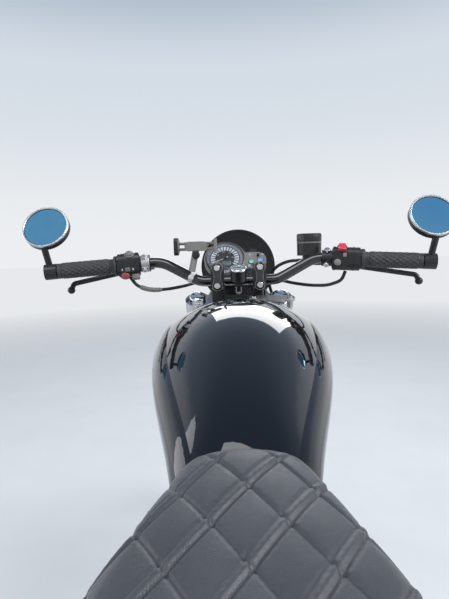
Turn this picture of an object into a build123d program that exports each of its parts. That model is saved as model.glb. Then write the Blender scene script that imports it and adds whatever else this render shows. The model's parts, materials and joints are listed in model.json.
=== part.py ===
from build123d import *
import os
from math import atan2, cos, degrees, pi, radians, sin, sqrt, tan

# Cafe racer motorcycle, in millimetres.
# +Y points forward, +X to the rider's right, +Z up. The origin is on the floor.
# It stands upright on its centre stand, front wheel on the floor, rear wheel just clear of it.

# Wheels and chassis geometry
WHEELBASE = 1440.0
FRONT_TYRE_W = 100.0
FRONT_TYRE_R = 331.0
FRONT_TYRE_H = 89.7
REAR_TYRE_W = 120.0
REAR_TYRE_R = 336.0
REAR_TYRE_H = 107.4
FRONT_RIM_BEAD_R = FRONT_TYRE_R - FRONT_TYRE_H
REAR_RIM_BEAD_R = REAR_TYRE_R - REAR_TYRE_H
REAR_WHEEL_LIFT = 12.0
RAKE = 27.0
FORK_OFFSET = 45.0
FRONT_AXLE_Y = WHEELBASE / 2 + (REAR_TYRE_R - FRONT_TYRE_R) / 2
REAR_AXLE_Y = FRONT_AXLE_Y - WHEELBASE
FRONT_AXLE_Z = FRONT_TYRE_R
REAR_AXLE_Z = REAR_TYRE_R + REAR_WHEEL_LIFT

# Clearances
WELD_GAP = 0.3
RUNNING_GAP = 0.3
SEAT_GAP = 0.3
MOVING_GAP = 5.0

# Fork and yokes, measured up the fork from the front axle
FORK_HALF_SPACING = 90.0
STANCHION_R = 18.5
LOWER_LEG_R = 23.0
LOWER_LEG_TOP = 300.0
LOWER_LEG_FOOT = 26.0
FORK_LUG_HALF = 25.5
DUST_SEAL_H = 16.0
FORK_CAP_H = 7.0
LOWER_YOKE_U = 452.0
LOWER_YOKE_T = 30.0
TOP_YOKE_U = 636.0
TOP_YOKE_T = 28.0
YOKE_BOSS_R = 27.0
STEM_R = 15.0
STEM_NUT_R = 17.0
STEM_NUT_H = 12.0
HEAD_TUBE_R = 27.0
DISC_R = 145.0
DISC_T = 5.0
CALIPER_X = 54.8
CALIPER_H = 86.0
HUB_HALF = 60.0
FRONT_AXLE_R = 8.0
AXLE_NUT_R = 14.0
AXLE_NUT_T = 8.0
CALIPER_U = 84.0
CALIPER_V = -82.0

# Handlebar and what it carries
BAR_R = 11.1
BAR_CLAMP_HALF_X = 44.0
RISER_RISE = 48.0
BAR_SETBACK = 4.0
BAR_FLAT_HALF = 82.0
BAR_HUMP_X = 162.0
BAR_RISE = 43.0
BAR_END_X = 372.5
BAR_END_RISE = 31.0
BAR_PULLBACK = 30.0
BAR_BEND_LOW = 50.0
BAR_BEND_HIGH = 60.0
RISER_R = 14.0
RISER_CLAMP_W = 27.0
RISER_HEAD_H = 54.0
RISER_HEAD_D = 40.0
RISER_HEAD_RISE = 9.0
GRIP_INSET = 2.0
GRIP_LENGTH = 118.0
GRIP_R = 16.5
GRIP_FLANGE_R = 21.0
GRIP_FLANGE_T = 5.0
BAR_END_CLAMP_R = 16.0
BAR_END_CLAMP_L = 24.0
MIRROR_R = 46.5
MIRROR_T = 14.0
MIRROR_GLASS_R = 42.5
MIRROR_GLASS_T = 2.0
MIRROR_RISE = 92.0
MIRROR_STEM_R = 6.5
MIRROR_TILT = 30.0
LEFT_SWITCHGEAR_L = 47.0
RIGHT_SWITCHGEAR_L = 58.0
SWITCHGEAR_TALL = 48.0
SWITCHGEAR_DEEP = 42.0
SWITCHGEAR_CORNER = 15.0
SWITCHGEAR_STEP = 3.0
PERCH_R = 17.0
PERCH_L = 20.0
LEVER_R = 5.5
CLUTCH_REACH = 163.0
CLUTCH_DROP = 44.0
BRAKE_REACH = 194.0
BRAKE_DROP = 43.0
RESERVOIR_R = 26.0
RESERVOIR_H = 46.0
HOSE_R = 3.5
LOOM_R = 3.5
LOOM_CLEAR = 1.9
CONTROL_GAP = 1.0
LEFT_SWITCH_AT = GRIP_INSET + GRIP_LENGTH + CONTROL_GAP
CLUTCH_PERCH_AT = LEFT_SWITCH_AT + LEFT_SWITCHGEAR_L + CONTROL_GAP
RIGHT_SWITCH_AT = LEFT_SWITCH_AT
BRAKE_PERCH_AT = RIGHT_SWITCH_AT + RIGHT_SWITCHGEAR_L + CONTROL_GAP

# Instruments and lamp
GAUGE_R = 46.0
GAUGE_DEPTH = 42.0
GAUGE_BEZEL = 14.0
LAMP_POD_X = 50.0
LAMP_POD_DEPTH = 26.0
GAUGE_TILT = 38.0
GAUGE_X = -29.0
GAUGE_AHEAD = 58.0
GAUGE_RISE = 45.0
HEADLAMP_R = 90.0
HEADLAMP_DEPTH = 105.0
HEADLAMP_DROP = 22.0
HEADLAMP_AHEAD = 130.0
LAMP_EAR_H = 36.0
SCREEN_R = 86.0
SCREEN_T = 3.0
SCREEN_AHEAD = 99.0
SCREEN_RISE = 24.5
CLOCK_R = 16.5
CLOCK_H = 25.0
CLOCK_TILT = 22.0
CLOCK_BACK = 28.0
CLOCK_RISE = 15.0
CLOCK_BAND_T = 3.0
CLOCK_BAND_W = 18.0
BEND_SHARE = 0.45
PHONE_X = -88.0
PHONE_AHEAD = 11.0
PHONE_RISE = 74.0
PHONE_GRIP = 82.0

# Frame tubes
MAIN_TUBE_R = 14.0
BACKBONE_R = 22.0
REAR_TUBE_R = 13.0
SEAT_RAIL_R = 12.0
RAIL_Z = 758.0
RAIL_HALF_X = 98.0
RAIL_REAR_Z = 784.0
BRIDGE_Y = REAR_AXLE_Y + 17.5
BRIDGE_R = 8.0
HOOP_Y = REAR_AXLE_Y - 94.5
HOOP_Z = 802.0
GUARD_AIR = 24.0
PLATE_Y = REAR_AXLE_Y - 250.5
PLATE_Z = 640.0
PLATE_HOLES = 110.0
PLATE_HOLE_R = 3.5
SHOCK_STUD_R = 6.0
SHOCK_LOW = (147.0, REAR_AXLE_Y + 77.5, REAR_AXLE_Z + 14.0)
SHOCK_TOP = (147.0, REAR_AXLE_Y + 157.5, RAIL_Z - 14.0)
CROSS_TUBE_R = 9.0
CRADLE_BENDS = [70.0, 90.0, 40.0]
CRADLE_Z = 225.0
PIVOT_PLATE_T = 8.0
PIVOT_PLATE_X = 136.0
PIVOT_Y = -235.0
PIVOT_Z = 370.0

# Swingarm, shocks and chain
ARM_INNER_X = 108.0
ARM_W = 25.0
ARM_H = 44.0
PIVOT_TUBE_R = 22.0
ARM_BRACE_R = 14.0
ARM_BRACE_Y = (PIVOT_Y - PIVOT_TUBE_R + REAR_AXLE_Y + REAR_TYRE_R) / 2
CHAIN_X = -92.0
CHAIN_PITCH = 15.875
REAR_SPROCKET_TEETH = 48
FRONT_SPROCKET_TEETH = 16
CHAIN_HALF_H = 8.0
CHAIN_CORE_HALF_H = 4.5
PLATE_HALF_H = 7.6
PLATE_INNER_X = 3.6
PLATE_MIDDLE_X = 6.1
PLATE_OUTER_X = 8.7
FRONT_SPROCKET_Y = -130.0
FRONT_SPROCKET_Z = 365.0
SPROCKET_T = 7.0
REAR_AXLE_R = 10.0

# Shocks
DAMPER_R = 17.0
SPRING_R = 26.0
SPRING_WIRE_R = 4.0
SPRING_SEAT = 44.0
SPRING_CAP_AT = 58.0
SPRING_TURNS = 11

# Stands
STAND_PIVOT_Y = -165.0
STAND_PIVOT_Z = 195.0
STAND_FOOT_LEAD = 35.0
STAND_FOOT_X = 150.0
STAND_LEG_R = 11.0
STAND_PIN_R = 7.0
SIDE_STAND_LENGTH = 240.0
SIDE_STAND_Y = 175.0
SIDE_STAND_Z = 195.0
SIDE_STAND_X = -84.0
SIDE_PIN_R = 5.0

# Engine
BARREL_Y = 115.0
BARREL_HALF_X = 108.0
BARREL_HALF_Y = 80.0
DECK_Z = 468.0
BARREL_TOP_Z = 604.0
HEAD_TOP_Z = 732.0
COVER_H = 54.0
PORT_Z = 656.0
CASE_CHAMFER = 12.0
CASE_W = 284.0
CASE_X = 8.0
ENGINE_LUG_H = 72.0
REAR_LUG_H = 112.0
FIN_PITCH = 12.0
FIN_T = 4.0
EXHAUST_R = 19.0
SILENCER_R = 43.0

os.makedirs("parts", exist_ok=True)
S_RAKE = sin(radians(RAKE))
C_RAKE = cos(radians(RAKE))


def save(shape, name):
    """Write one named piece."""
    export_step(shape, f"parts/{name}.step")


def group(*solids):
    """Several solids of one node."""
    return Compound(children=[s for item in solids for s in item.solids()])


def mirrored(shape):
    """The same shape on the other side of the bike."""
    return shape.mirror(Plane.YZ)


def both(shape):
    """A left and a right copy."""
    return group(shape, mirrored(shape))


def fork(x, u, v):
    """A point at u up the fork from the axle and v forward of the fork legs."""
    return Vector(x, FRONT_AXLE_Y - S_RAKE * u + C_RAKE * v, FRONT_AXLE_Z + C_RAKE * u + S_RAKE * v)


def fork_plane(x, u, v):
    """A plane square to the fork: local x is right, local y is forward."""
    return Plane(origin=fork(x, u, v), x_dir=(1, 0, 0), z_dir=(0, -S_RAKE, C_RAKE))


def rod(start, end, radius, bore=0.0):
    """A round bar or tube between two points."""
    start, end = Vector(start), Vector(end)
    plane = Plane(origin=start, z_dir=end - start)
    section = Circle(radius) - Circle(bore) if bore else Circle(radius)
    return extrude(plane * section, (end - start).length, dir=(end - start).normalized())


def pipe(points, radius, bends):
    """A bent round bar: straight runs joined by arcs."""
    path = FilletPolyline(*points, radius=bends)
    return sweep((path ^ 0) * Circle(radius), path=path)


def spun_x(outline, y, z):
    """A solid of revolution about an axle. outline lists (x, radius) corners."""
    face = make_face(Plane.XZ * Polyline(*outline, close=True))
    return Pos(0, y, z) * revolve(face, Axis.X, 360)


def rounded_box(x, y, z, radius):
    """A block with rounded upright edges."""
    return extrude(RectangleRounded(x, y, radius), z / 2, both=True)


# Wheels


def tyre(bead_r, width, outer_r, y, z):
    """A tyre whose crown and walls are arcs, closed just above the rim's flange."""
    seat = bead_r + 15.3
    shoulder_r = outer_r - width * 0.16
    wall_r = (seat + shoulder_r) / 2
    right = ThreePointArc((width * 0.28, seat), (width * 0.5, wall_r), (width * 0.40, shoulder_r))
    crown = ThreePointArc((width * 0.40, shoulder_r), (0, outer_r), (-width * 0.40, shoulder_r))
    left = ThreePointArc((-width * 0.40, shoulder_r), (-width * 0.5, wall_r), (-width * 0.28, seat))
    base = Line((-width * 0.28, seat), (width * 0.28, seat))
    face = make_face(Plane.XZ * (right + crown + left + base))
    return Pos(0, y, z) * revolve(face, Axis.X, 360)


def rim(bead_r, half_w, y, z):
    """A wire-wheel rim with upturned flanges."""
    outline = [
        (-half_w, bead_r + 15), (-half_w + 3, bead_r + 15), (-half_w + 4, bead_r + 3),
        (-half_w * 0.4, bead_r - 3), (-half_w * 0.3, bead_r - 13), (half_w * 0.3, bead_r - 13),
        (half_w * 0.4, bead_r - 3), (half_w - 4, bead_r + 3), (half_w - 3, bead_r + 15),
        (half_w, bead_r + 15), (half_w, bead_r - 1), (half_w * 0.5, bead_r - 8),
        (half_w * 0.35, bead_r - 18), (-half_w * 0.35, bead_r - 18), (-half_w * 0.5, bead_r - 8),
        (-half_w, bead_r - 1),
    ]
    return spun_x(outline, y, z)


def spokes(count, left_flange, right_flange, rim_x, rim_r, lean):
    """Crossed wire spokes about the X axis, from the hub's flanges, each (x, radius), to the rim."""
    wires = []
    for index in range(count):
        side = 1 if index % 2 else -1
        flange_x, flange_r = right_flange if index % 2 else left_flange
        sweep_way = 1 if (index // 2) % 2 else -1
        outer = 2 * pi * index / count
        inner = outer + sweep_way * radians(lean)
        start = (flange_x, flange_r * cos(inner), flange_r * sin(inner))
        end = (side * rim_x, rim_r * cos(outer), rim_r * sin(outer))
        wires.append(rod(start, end, 2.0))
    return wires


def front_hub():
    seat = CALIPER_X - DISC_T / 2 - SEAT_GAP
    outline = [
        (-HUB_HALF, 8.3), (HUB_HALF, 8.3), (HUB_HALF, 32), (seat, 32), (seat, 42), (38, 42), (34, 26),
        (-34, 26), (-38, 42), (-44, 42), (-44, 22), (-HUB_HALF, 18),
    ]
    core = spun_x(outline, 0, 0)
    wires = spokes(36, (-41, 36), (41, 36), 6.0, FRONT_RIM_BEAD_R - 18.6, 55.0)
    return Pos(0, FRONT_AXLE_Y, FRONT_AXLE_Z) * (core + wires)


def front_disc():
    """A brake disc on the hub's right face, with windows in its carrier."""
    disc = Plane.YZ * (Circle(DISC_R) - Circle(32.2))
    windows = Plane.YZ * PolarLocations(76, 6) * Circle(19)
    plate = extrude(disc - windows, DISC_T / 2, both=True)
    return Pos(CALIPER_X, FRONT_AXLE_Y, FRONT_AXLE_Z) * plate


def rear_hub():
    """A drum hub, its brake plate side open to the right."""
    outline = [
        (-58, 10.3), (40, 10.3), (40, 88), (56, 88), (56, 98), (34, 98), (28, 72), (-30, 52),
        (-44, 62), (-52, 62), (-52, 40), (-58, 40),
    ]
    core = spun_x(outline, 0, 0)
    wires = spokes(36, (-48, 56), (38, 90), 6.0, REAR_RIM_BEAD_R - 18.6, 30.0)
    return Pos(0, REAR_AXLE_Y, REAR_AXLE_Z) * (core + wires)


def sprocket_radius(teeth):
    """Pitch radius of a chain sprocket."""
    return CHAIN_PITCH / 2 / sin(pi / teeth)


def rear_sprocket():
    radius = sprocket_radius(REAR_SPROCKET_TEETH) - CHAIN_HALF_H - 1.0
    disc = Plane.YZ * (Circle(radius) - Circle(40.3) - PolarLocations(82, 6) * Circle(17))
    plate = extrude(disc, SPROCKET_T / 2, both=True)
    carrier = extrude(Plane.YZ * (Circle(62) - Circle(40.3)), 36)
    whole = Pos(CHAIN_X, REAR_AXLE_Y, REAR_AXLE_Z) * plate
    return whole + Pos(CHAIN_X + SPROCKET_T / 2, REAR_AXLE_Y, REAR_AXLE_Z) * carrier


# Fork and steering


def yoke(u, thickness, stem_hole):
    """A fork yoke: two leg bosses and a stem boss joined by a web."""
    web = make_hull(
        (Pos(-FORK_HALF_SPACING, 0) * Circle(16)
         + Pos(FORK_HALF_SPACING, 0) * Circle(16)
         + Pos(0, -FORK_OFFSET) * Circle(24)).edges()
    )
    outline = web + Pos(0, -FORK_OFFSET) * Circle(YOKE_BOSS_R)
    for side in (-1, 1):
        outline = outline + Pos(side * FORK_HALF_SPACING, 0) * Circle(YOKE_BOSS_R)
    for side in (-1, 1):
        outline = outline - Pos(side * FORK_HALF_SPACING, 0) * Circle(STANCHION_R + SEAT_GAP)
    if stem_hole:
        outline = outline - Pos(0, -FORK_OFFSET) * Circle(STEM_R + SEAT_GAP)
    return extrude(fork_plane(0, u, 0) * outline, thickness)


def yokes():
    lower = yoke(LOWER_YOKE_U, LOWER_YOKE_T, False)
    stem = extrude(fork_plane(0, LOWER_YOKE_U + LOWER_YOKE_T / 2, -FORK_OFFSET) * Circle(STEM_R),
                   TOP_YOKE_U + TOP_YOKE_T - SEAT_GAP - LOWER_YOKE_U - LOWER_YOKE_T / 2)
    top = yoke(TOP_YOKE_U, TOP_YOKE_T, True)
    nut = extrude(fork_plane(0, TOP_YOKE_U + TOP_YOKE_T, -FORK_OFFSET) * RegularPolygon(STEM_NUT_R, 6),
                  STEM_NUT_H)
    return group(lower + stem, top + nut)


def yoke_space():
    """What the top yoke and its fit take from the pieces that stand on it."""
    size = 4 * FORK_HALF_SPACING
    return extrude(fork_plane(0, TOP_YOKE_U, 0) * Rectangle(size, size), TOP_YOKE_T + SEAT_GAP)


def stanchion():
    length = TOP_YOKE_U + TOP_YOKE_T - LOWER_LEG_TOP - SEAT_GAP
    tube = extrude(fork_plane(FORK_HALF_SPACING, LOWER_LEG_TOP + SEAT_GAP, 0) * Circle(STANCHION_R), length)
    cap = extrude(fork_plane(FORK_HALF_SPACING, TOP_YOKE_U + TOP_YOKE_T, 0) * Circle(STANCHION_R - 1.5),
                  FORK_CAP_H)
    return tube + cap


def fork_lower():
    """A lower leg with its axle clamp and dust seal."""
    start = LOWER_LEG_FOOT
    tube = extrude(fork_plane(FORK_HALF_SPACING, start, 0) * Circle(LOWER_LEG_R),
                   LOWER_LEG_TOP - start - DUST_SEAL_H)
    seal = extrude(fork_plane(FORK_HALF_SPACING, LOWER_LEG_TOP - DUST_SEAL_H, 0)
                   * Circle(LOWER_LEG_R + 2), DUST_SEAL_H)
    lug = Pos(FORK_HALF_SPACING, FRONT_AXLE_Y, FRONT_AXLE_Z) * extrude(
        Plane.YZ * Circle(25), FORK_LUG_HALF, both=True)
    neck = extrude(fork_plane(FORK_HALF_SPACING, 0, 0) * Circle(LOWER_LEG_R - 1), start + 1)
    bore = Pos(FORK_HALF_SPACING, FRONT_AXLE_Y, FRONT_AXLE_Z) * extrude(
        Plane.YZ * Circle(FRONT_AXLE_R + SEAT_GAP), 2 * FORK_LUG_HALF, both=True)
    return tube + seal + lug + neck - bore


def front_axle():
    """The axle, its nuts and the two spacers that carry the hub between the legs."""
    reach = FORK_HALF_SPACING + FORK_LUG_HALF + SEAT_GAP
    bar = Pos(0, FRONT_AXLE_Y, FRONT_AXLE_Z) * extrude(Plane.YZ * Circle(FRONT_AXLE_R), reach, both=True)
    whole = bar
    for side in (-1, 1):
        nut = Pos(side * (reach + AXLE_NUT_T / 2), FRONT_AXLE_Y, FRONT_AXLE_Z) * extrude(
            Plane.YZ * RegularPolygon(AXLE_NUT_R, 6), AXLE_NUT_T / 2, both=True)
        spacer_in, spacer_out = HUB_HALF + SEAT_GAP, FORK_HALF_SPACING - FORK_LUG_HALF - SEAT_GAP
        spacer = Pos(side * (spacer_in + spacer_out) / 2, FRONT_AXLE_Y, FRONT_AXLE_Z) * extrude(
            Plane.YZ * Circle(15), (spacer_out - spacer_in) / 2, both=True)
        whole = whole + nut + spacer
    return whole


def arched_guard(axle_y, axle_z, inner_r, width, thickness, start, end):
    """A mudguard: a shallow channel swept about an axle between two angles."""
    half = width / 2
    edge_r = inner_r - 12
    outer = ThreePointArc((-half, edge_r), (0, inner_r + thickness + 4), (half, edge_r))
    inner = ThreePointArc((-half + thickness, edge_r), (0, inner_r + 4), (half - thickness, edge_r))
    left_edge = Line((-half, edge_r), (-half + thickness, edge_r))
    right_edge = Line((half, edge_r), (half - thickness, edge_r))
    face = make_face(Plane.XZ * (outer + inner + left_edge + right_edge))
    face = Rot(start - 90, 0, 0) * face
    return Pos(0, axle_y, axle_z) * revolve(face, Axis.X, end - start)


def front_mudguard():
    """The guard and the two stays that hold it to the fork legs."""
    guard = arched_guard(FRONT_AXLE_Y, FRONT_AXLE_Z, FRONT_TYRE_R + 18, 116, 3, 68, 152)
    whole = guard
    edge = FRONT_TYRE_R + 12
    for side in (-1, 1):
        for angle in (96, 138):
            turn = radians(angle)
            top = (side * 57, FRONT_AXLE_Y + edge * cos(turn), FRONT_AXLE_Z + edge * sin(turn))
            low = fork(side * (FORK_HALF_SPACING - LOWER_LEG_R - 5), 196, -2)
            whole = whole + rod(top, low, 4)
        boss = fork_plane(side * (FORK_HALF_SPACING - LOWER_LEG_R - 4), 196, -2)
        pad = Plane(origin=boss.origin, z_dir=(1, 0, 0)) * Circle(10)
        whole = whole + extrude(pad, 4 - SEAT_GAP, both=True)
    return whole


def brake_caliper():
    """A two-piston caliper over the disc, behind the right leg."""
    centre = fork(CALIPER_X, CALIPER_U, CALIPER_V)
    body = Pos(CALIPER_X + 6.2, centre.Y, centre.Z) * Rot(RAKE, 0, 0) * rounded_box(38, 52, CALIPER_H, 8)
    slot = Pos(CALIPER_X, FRONT_AXLE_Y, FRONT_AXLE_Z) * extrude(
        Plane.YZ * Circle(DISC_R + MOVING_GAP), DISC_T / 2 + 1.5, both=True)
    arm_x = FORK_HALF_SPACING - 12
    arm = rod(fork(arm_x, CALIPER_U, CALIPER_V + 12), fork(arm_x, CALIPER_U, -LOWER_LEG_R), 9)
    leg = extrude(fork_plane(FORK_HALF_SPACING, 0, 0) * Circle(LOWER_LEG_R + SEAT_GAP), LOWER_LEG_TOP)
    return body + arm - slot - leg


BAR_CLAMP = fork(0, TOP_YOKE_U + TOP_YOKE_T + RISER_RISE, -BAR_SETBACK)
BAR_CLAMP_Y = BAR_CLAMP.Y
BAR_CLAMP_Z = BAR_CLAMP.Z


def by_clamp(x, ahead, rise):
    """A point given from the middle of the bar's clamps."""
    return Vector(x, BAR_CLAMP_Y + ahead, BAR_CLAMP_Z + rise)


def bar_side(side):
    """Points of one half of the bar, from the clamp out to its end."""
    return [
        (side * BAR_FLAT_HALF, BAR_CLAMP_Y, BAR_CLAMP_Z),
        (side * BAR_HUMP_X, BAR_CLAMP_Y + 6, BAR_CLAMP_Z + BAR_RISE),
        (side * BAR_END_X, BAR_CLAMP_Y - BAR_PULLBACK, BAR_CLAMP_Z + BAR_END_RISE),
    ]


def bar_at(side, inward):
    """A plane on the grip's straight run, square to it, inward from the bar's end. Local z points out."""
    points = bar_side(side)
    start, end = Vector(points[-2]), Vector(points[-1])
    way = (end - start).normalized()
    return Plane(origin=end - way * inward, x_dir=(0, 0, 1), z_dir=way)


def handlebar():
    left = list(reversed(bar_side(-1)))
    right = bar_side(1)
    return pipe(left + right, BAR_R, [BAR_BEND_HIGH, BAR_BEND_LOW, BAR_BEND_LOW, BAR_BEND_HIGH])


def on_bar(side, inward, length, radius):
    """A sleeve on the bar, from inward towards the bar's middle, clear of the bar by a fit."""
    plane = bar_at(side, inward + length)
    return extrude(plane * (Circle(radius) - Circle(BAR_R + SEAT_GAP)), length)


def bar_risers():
    """Two risers on the top yoke, each with its bored clamp."""
    base = fork(0, TOP_YOKE_U + TOP_YOKE_T, 0)
    at = by_clamp(BAR_CLAMP_HALF_X, 0, 0)
    post = rod((BAR_CLAMP_HALF_X, base.Y, base.Z), at, RISER_R)
    side = Plane.YZ * Pos(0, RISER_HEAD_RISE) * RectangleRounded(RISER_HEAD_D, RISER_HEAD_H, 14)
    head = Pos(*at) * extrude(side, RISER_CLAMP_W / 2, both=True)
    bore = Pos(*at) * extrude(Plane.YZ * Circle(BAR_R + SEAT_GAP), RISER_CLAMP_W, both=True)
    return both(post + head - bore - yoke_space())


def grips():
    out = []
    for side in (-1, 1):
        sleeve = on_bar(side, GRIP_INSET, GRIP_LENGTH - GRIP_FLANGE_T, GRIP_R)
        flange = on_bar(side, GRIP_INSET + GRIP_LENGTH - GRIP_FLANGE_T, GRIP_FLANGE_T, GRIP_FLANGE_R)
        out.append(sleeve + flange)
    return group(*out)


def mirror_plane(side):
    """The mirror's centre, facing back and up towards the rider."""
    end = bar_at(side, -SEAT_GAP - BAR_END_CLAMP_L / 2).origin
    centre = end + Vector(side * 6, 0, MIRROR_RISE)
    tilt = radians(MIRROR_TILT)
    return Plane(origin=centre, x_dir=(1, 0, 0), z_dir=(0, -cos(tilt), sin(tilt)))


def mirrors():
    """Bar-end clamps with their stems and round housings."""
    out = []
    for side in (-1, 1):
        plane = bar_at(side, -SEAT_GAP)
        clamp = extrude(plane * Circle(BAR_END_CLAMP_R), BAR_END_CLAMP_L)
        face = mirror_plane(side)
        back = Plane(origin=face.origin - face.z_dir * MIRROR_T, x_dir=face.x_dir, z_dir=face.z_dir)
        shell = extrude(back * Circle(MIRROR_R), MIRROR_T)
        recess = extrude(face * Circle(MIRROR_GLASS_R + SEAT_GAP), -(MIRROR_GLASS_T + 1))
        middle = bar_at(side, -SEAT_GAP - BAR_END_CLAMP_L / 2).origin
        low_edge = face.origin - face.z_dir * (MIRROR_T * 0.6) - face.y_dir * (MIRROR_R - 4)
        stem = rod(middle, low_edge, MIRROR_STEM_R)
        out.append(clamp + stem + shell - recess)
    return group(*out)


def mirror_glasses():
    out = []
    for side in (-1, 1):
        face = mirror_plane(side)
        bed = Plane(origin=face.origin - face.z_dir * (MIRROR_GLASS_T + 1 - SEAT_GAP), x_dir=face.x_dir,
                    z_dir=face.z_dir)
        out.append(extrude(bed * Circle(MIRROR_GLASS_R), MIRROR_GLASS_T))
    return group(*out)


def switch_outline(grow):
    """The switch housing's outline round the bar: local x is up."""
    return RectangleRounded(SWITCHGEAR_TALL + grow, SWITCHGEAR_DEEP + grow, SWITCHGEAR_CORNER + grow / 2)


def switch_housing(side, inward, length):
    """A moulded housing round the bar, stepped down at both ends."""
    bore = Circle(BAR_R + SEAT_GAP)
    collar = extrude(bar_at(side, inward + length) * (switch_outline(-2 * SWITCHGEAR_STEP) - bore), length)
    body = extrude(bar_at(side, inward + length - SWITCHGEAR_STEP) * (switch_outline(0) - bore),
                   length - 2 * SWITCHGEAR_STEP)
    return collar + body


def switch_space(side, inward):
    """What a switch housing takes from the perch beside it."""
    return extrude(bar_at(side, inward - CONTROL_GAP / 2) * switch_outline(2), 60)


def left_switchgear():
    return switch_housing(-1, LEFT_SWITCH_AT, LEFT_SWITCHGEAR_L)


def lever(side, inward, reach, drop, ahead):
    """A lever blade ahead of the grip, from its perch to a ball end."""
    root = bar_at(side, inward).origin
    tip_at = bar_at(side, inward - reach).origin
    points = [
        root + Vector(side * -4, 24, -6), root + Vector(side * 20, 44, -12),
        tip_at + Vector(0, ahead, -drop * 0.7), tip_at + Vector(side * 4, ahead - 6, -drop),
    ]
    blade = pipe([tuple(p) for p in points], LEVER_R, [14, 8])
    return blade + Pos(*tuple(points[-1])) * Sphere(8.0)


def clutch_lever():
    """The clutch lever and the clamp that holds it to the bar."""
    inward = CLUTCH_PERCH_AT
    clamp = on_bar(-1, inward, PERCH_L, PERCH_R)
    root = bar_at(-1, inward + PERCH_L / 2).origin
    ear = Pos(*tuple(root + Vector(2, 24, -6))) * rounded_box(24, 26, 16, 6)
    bar_space = pipe(bar_side(-1), BAR_R + SEAT_GAP, [BAR_BEND_HIGH])
    blade = lever(-1, inward + PERCH_L / 2, CLUTCH_REACH, CLUTCH_DROP, 42)
    return clamp + ear + blade - bar_space - switch_space(-1, inward)


def right_switchgear():
    return switch_housing(1, RIGHT_SWITCH_AT, RIGHT_SWITCHGEAR_L)


def brake_master():
    """Brake perch, fluid reservoir and lever."""
    inward = BRAKE_PERCH_AT
    clamp = on_bar(1, inward, PERCH_L, PERCH_R)
    root = bar_at(1, inward + PERCH_L / 2).origin
    body = Pos(*tuple(root + Vector(-14, 26, -4))) * rounded_box(64, 24, 22, 6)
    pot = Pos(*tuple(root + Vector(-31, 34, 6 + RESERVOIR_H / 2))) * extrude(
        Circle(RESERVOIR_R), RESERVOIR_H / 2, both=True)
    bar_space = pipe(bar_side(1), BAR_R + SEAT_GAP, [BAR_BEND_HIGH])
    blade = lever(1, inward + PERCH_L / 2, BRAKE_REACH, BRAKE_DROP, 46)
    return clamp + body + pot + blade - bar_space - switch_space(1, inward)


def gauge_plane():
    tilt = radians(GAUGE_TILT)
    return Plane(origin=by_clamp(GAUGE_X, GAUGE_AHEAD, GAUGE_RISE), x_dir=(1, 0, 0),
                 z_dir=(0, -cos(tilt), sin(tilt)))


def gauge():
    """Round instrument with a lamp pod to its right and a bracket down to the top yoke."""
    face = gauge_plane()
    profile = Polyline((0, 0), (GAUGE_R - 3, 0), (GAUGE_R, -3), (GAUGE_R, -GAUGE_BEZEL), (GAUGE_R - 4, -GAUGE_BEZEL),
                       (GAUGE_R - 10, -GAUGE_DEPTH + 8), (GAUGE_R - 18, -GAUGE_DEPTH), (0, -GAUGE_DEPTH), close=True)
    pod = extrude(face * (Pos(LAMP_POD_X, -6) * RectangleRounded(84, 44, 20)), -LAMP_POD_DEPTH)
    body = face * revolve(make_face(Plane.XZ * profile), Axis.Z, 360) + pod
    foot = fork(0, TOP_YOKE_U + TOP_YOKE_T / 2, 4)
    back = face.origin - face.z_dir * (GAUGE_DEPTH * 0.6)
    bracket = rod(foot, (0, back.Y, back.Z - 16), 7)
    return body + bracket - yoke_space()


EAR_U = (LOWER_YOKE_U + LOWER_YOKE_T + TOP_YOKE_U) / 2
LAMP = fork(0, EAR_U - HEADLAMP_DROP, HEADLAMP_AHEAD)


def headlamp_shell():
    """A round headlamp bowl on two ears clamped to the fork."""
    outline = [(0, -HEADLAMP_DEPTH), (40, -HEADLAMP_DEPTH + 6), (72, -HEADLAMP_DEPTH + 34), (88, -36),
               (HEADLAMP_R, -6), (HEADLAMP_R, 0), (HEADLAMP_R - 6, 0), (HEADLAMP_R - 6, -6), (84, -34),
               (68, -HEADLAMP_DEPTH + 38), (38, -HEADLAMP_DEPTH + 10), (0, -HEADLAMP_DEPTH + 4)]
    face = make_face(Plane.XY * Polyline(*outline, close=True))
    bowl = Pos(*tuple(LAMP)) * revolve(face, Axis.Y, 360)
    ears = []
    for side in (-1, 1):
        band = Circle(STANCHION_R + 5) - Circle(STANCHION_R + SEAT_GAP)
        ring = extrude(fork_plane(side * FORK_HALF_SPACING, EAR_U, 0) * band, LAMP_EAR_H / 2, both=True)
        at = fork(side * FORK_HALF_SPACING, EAR_U, STANCHION_R + 3)
        tip = Vector(side * (HEADLAMP_R - 3), LAMP.Y - 30, LAMP.Z)
        ears.append(ring + rod(at, tip, 6))
    inside = make_face(Plane.XY * Polyline((0, -90), (60, -66), (80, -34), (80, 2), (0, 2), close=True))
    hollow = Pos(*tuple(LAMP)) * revolve(inside, Axis.Y, 360)
    return bowl + ears - hollow


def headlamp_lens():
    """A domed glass in the lamp's rim."""
    rim_r = HEADLAMP_R - 6 - SEAT_GAP
    arc = ThreePointArc((0, 16), (rim_r * 0.55, 12), (rim_r, 0))
    back = Polyline((rim_r, 0), (rim_r, -5), (0, -5), (0, 16))
    return Pos(*tuple(LAMP)) * revolve(make_face(Plane.XY * (arc + back)), Axis.Y, 360)


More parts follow.
